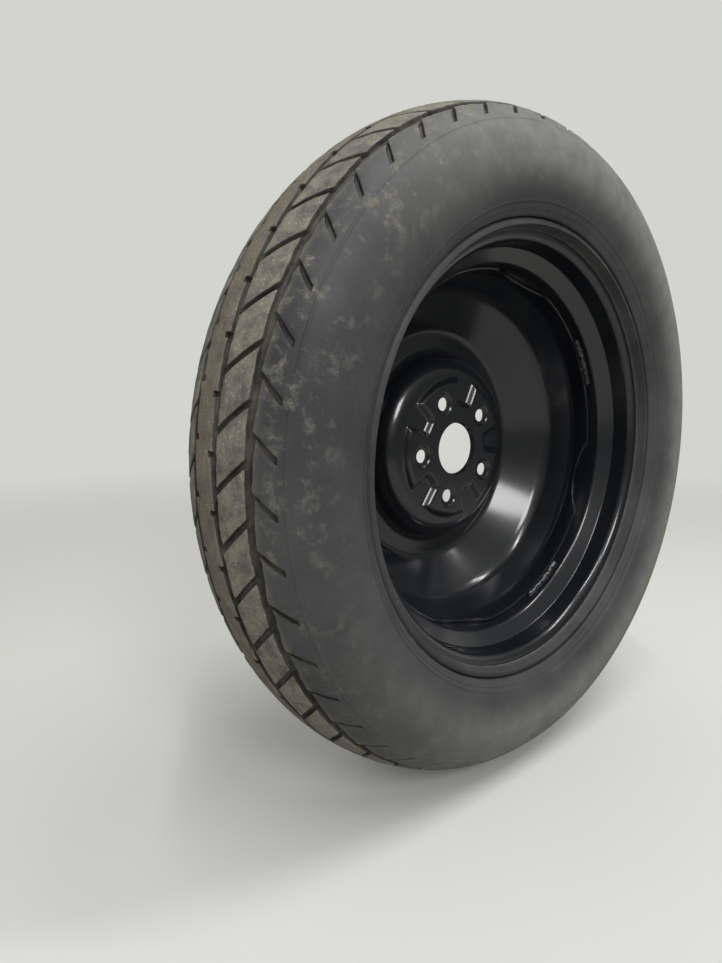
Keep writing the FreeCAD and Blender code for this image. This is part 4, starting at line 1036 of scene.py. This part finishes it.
NODE_MATERIALS = {
    plain_rubber("valve_rubber", "#1b1b1c"): ("valve_stem",),
    turned_metal("valve_brass", "#b08d4a"): (
        "valve_insert", "core_plug", "core_barrel", "core_pin", "pin_cup",
    ),
    plain_rubber("seal_rubber", "#5e1f18"): ("barrel_seal", "cup_seal"),
    turned_metal("spring_steel", "#b9b9bb"): ("core_spring",),
    moulded_plastic(): ("valve_cap",),
}
for material, nodes in NODE_MATERIALS.items():
    for node in nodes:
        for material_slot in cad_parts[node].material_slots:
            material_slot.material = material


# Camera, stage and light

# Floor, in metres: its height, how far it reaches and where it fades out
FLOOR_Z = -CROWN_RADIUS * MM
FLOOR_REACH = 12.0
FLOOR_FADE = (0.8, 2.8)
PALE = linear("#d3d4cf")

camera_data = bpy.data.cameras.new("camera")
camera_data.sensor_fit = "VERTICAL"
camera_data.sensor_height = 36.0
camera_data.lens = FOCAL_PIXELS / IMAGE_HEIGHT * camera_data.sensor_height
camera_data.clip_start = 0.01
camera = bpy.data.objects.new("camera", camera_data)
bpy.context.scene.collection.objects.link(camera)
camera.location = Vector(CAMERA_PLACE) * MM
camera.rotation_euler = Vector(CAMERA_FORWARD).to_track_quat("-Z", "Y").to_euler()
bpy.context.scene.camera = camera


def pale_floor():
    """Smooth pale floor covering: matt and faintly uneven, fading out into the pale room further off.
    It throws less light back than it shows, as a floor in a larger room does."""
    material, tree = new_material("pale_floor")
    place = add(tree, "TexCoord").node.outputs["Object"]
    uneven = add(tree, "TexNoise", {"Vector": place, "Scale": 1 / (FLOOR_PATCH * MM), "Detail": 3.0})
    shown = add(tree, "Mix", {
        "Factor": uneven, "A": linear("#f8f8f2"), "B": linear("#fcfcf6"),
    }, data_type="RGBA")
    seen = add(tree, "LightPath").node.outputs["Is Camera Ray"]
    tone = add(tree, "Mix", {"Factor": seen, "A": linear("#a9a9a5"), "B": shown}, data_type="RGBA")
    near = add(tree, "BsdfPrincipled", {"Base Color": tone, "Roughness": 0.7, "Specular IOR Level": 0.2})
    flat = add(tree, "VectorMath", {0: place, 1: (1, 1, 0)}, operation="MULTIPLY")
    away = add(tree, "VectorMath", {0: flat}, operation="LENGTH")
    fade = add(tree, "MapRange", {
        0: away, 1: FLOOR_FADE[0], 2: FLOOR_FADE[1],
    }, interpolation_type="SMOOTHSTEP")
    open_room = add(tree, "BsdfTransparent")
    shader = add(tree, "MixShader", {0: fade, 1: near, 2: open_room})
    add(tree, "OutputMaterial", {"Surface": shader})
    return material


floor_mesh = bpy.data.meshes.new("floor")
floor_mesh.from_pydata(
    [(x * FLOOR_REACH, y * FLOOR_REACH, FLOOR_Z) for x, y in ((-1, -1), (1, -1), (1, 1), (-1, 1))],
    [],
    [(0, 1, 2, 3)],
)
floor_mesh.materials.append(pale_floor())
floor = bpy.data.objects.new("floor", floor_mesh)
bpy.context.scene.collection.objects.link(floor)


# Strength of the room's own light on matt things, where 1 is what the camera sees
ROOM_LIGHT = 0.6


def room_world():
    """A pale room: even where it is seen, dimmer as light on matt things, and in mirrors dim in front,
    brighter overhead and pale at the wall on the right."""
    world = bpy.data.worlds.new("room")
    world.use_nodes = True
    tree = world.node_tree
    tree.nodes.clear()
    path = add(tree, "LightPath").node
    mirrored = add(tree, "Math", {
        0: path.outputs["Is Glossy Ray"], 1: path.outputs["Is Transmission Ray"],
    }, operation="MAXIMUM")
    way = add(tree, "TexCoord").node.outputs["Generated"]
    aside, _, height = add(tree, "SeparateXYZ", {0: way}).node.outputs
    overhead = add(tree, "MapRange", {0: height, 1: 0.1, 2: 0.8, 3: 0.18, 4: 0.4})
    pale_wall = add(tree, "MapRange", {0: aside, 1: 0.75, 2: 0.97, 3: 0.0, 4: 0.75})
    shine = add(tree, "Math", {0: overhead, 1: pale_wall}, operation="MAXIMUM")
    strength = add(tree, "Mix", {"Factor": mirrored, "A": ROOM_LIGHT, "B": shine})
    strength = add(tree, "Mix", {"Factor": path.outputs["Is Camera Ray"], "A": strength, "B": 1.0})
    backdrop = add(tree, "Background", {"Color": PALE, "Strength": strength})
    add(tree, "OutputWorld", {"Surface": backdrop})
    return world


bpy.context.scene.world = room_world()


def area_lamp(name, place, aim, width, height, power):
    """A flat lamp at a place, turned towards a point; lengths are in metres and the power in watts."""
    data = bpy.data.lights.new(name, "AREA")
    data.shape = "RECTANGLE"
    data.size = width
    data.size_y = height
    data.energy = power
    lamp = bpy.data.objects.new(name, data)
    bpy.context.scene.collection.objects.link(lamp)
    lamp.location = place
    lamp.rotation_euler = (Vector(aim) - Vector(place)).to_track_quat("-Z", "Y").to_euler()


area_lamp("left_tube", (-0.5, -0.9, 2.4), (0.0, -0.1, 0.0), 0.16, 1.6, 15)
area_lamp("right_tube", (0.9, -0.9, 2.4), (0.0, -0.1, 0.0), 0.16, 1.6, 15)
area_lamp("doorway", (-0.9, -2.5, 1.6), (0.0, 0.0, 0.0), 0.8, 1.0, 22)

bpy.context.scene.view_settings.view_transform = "Standard"
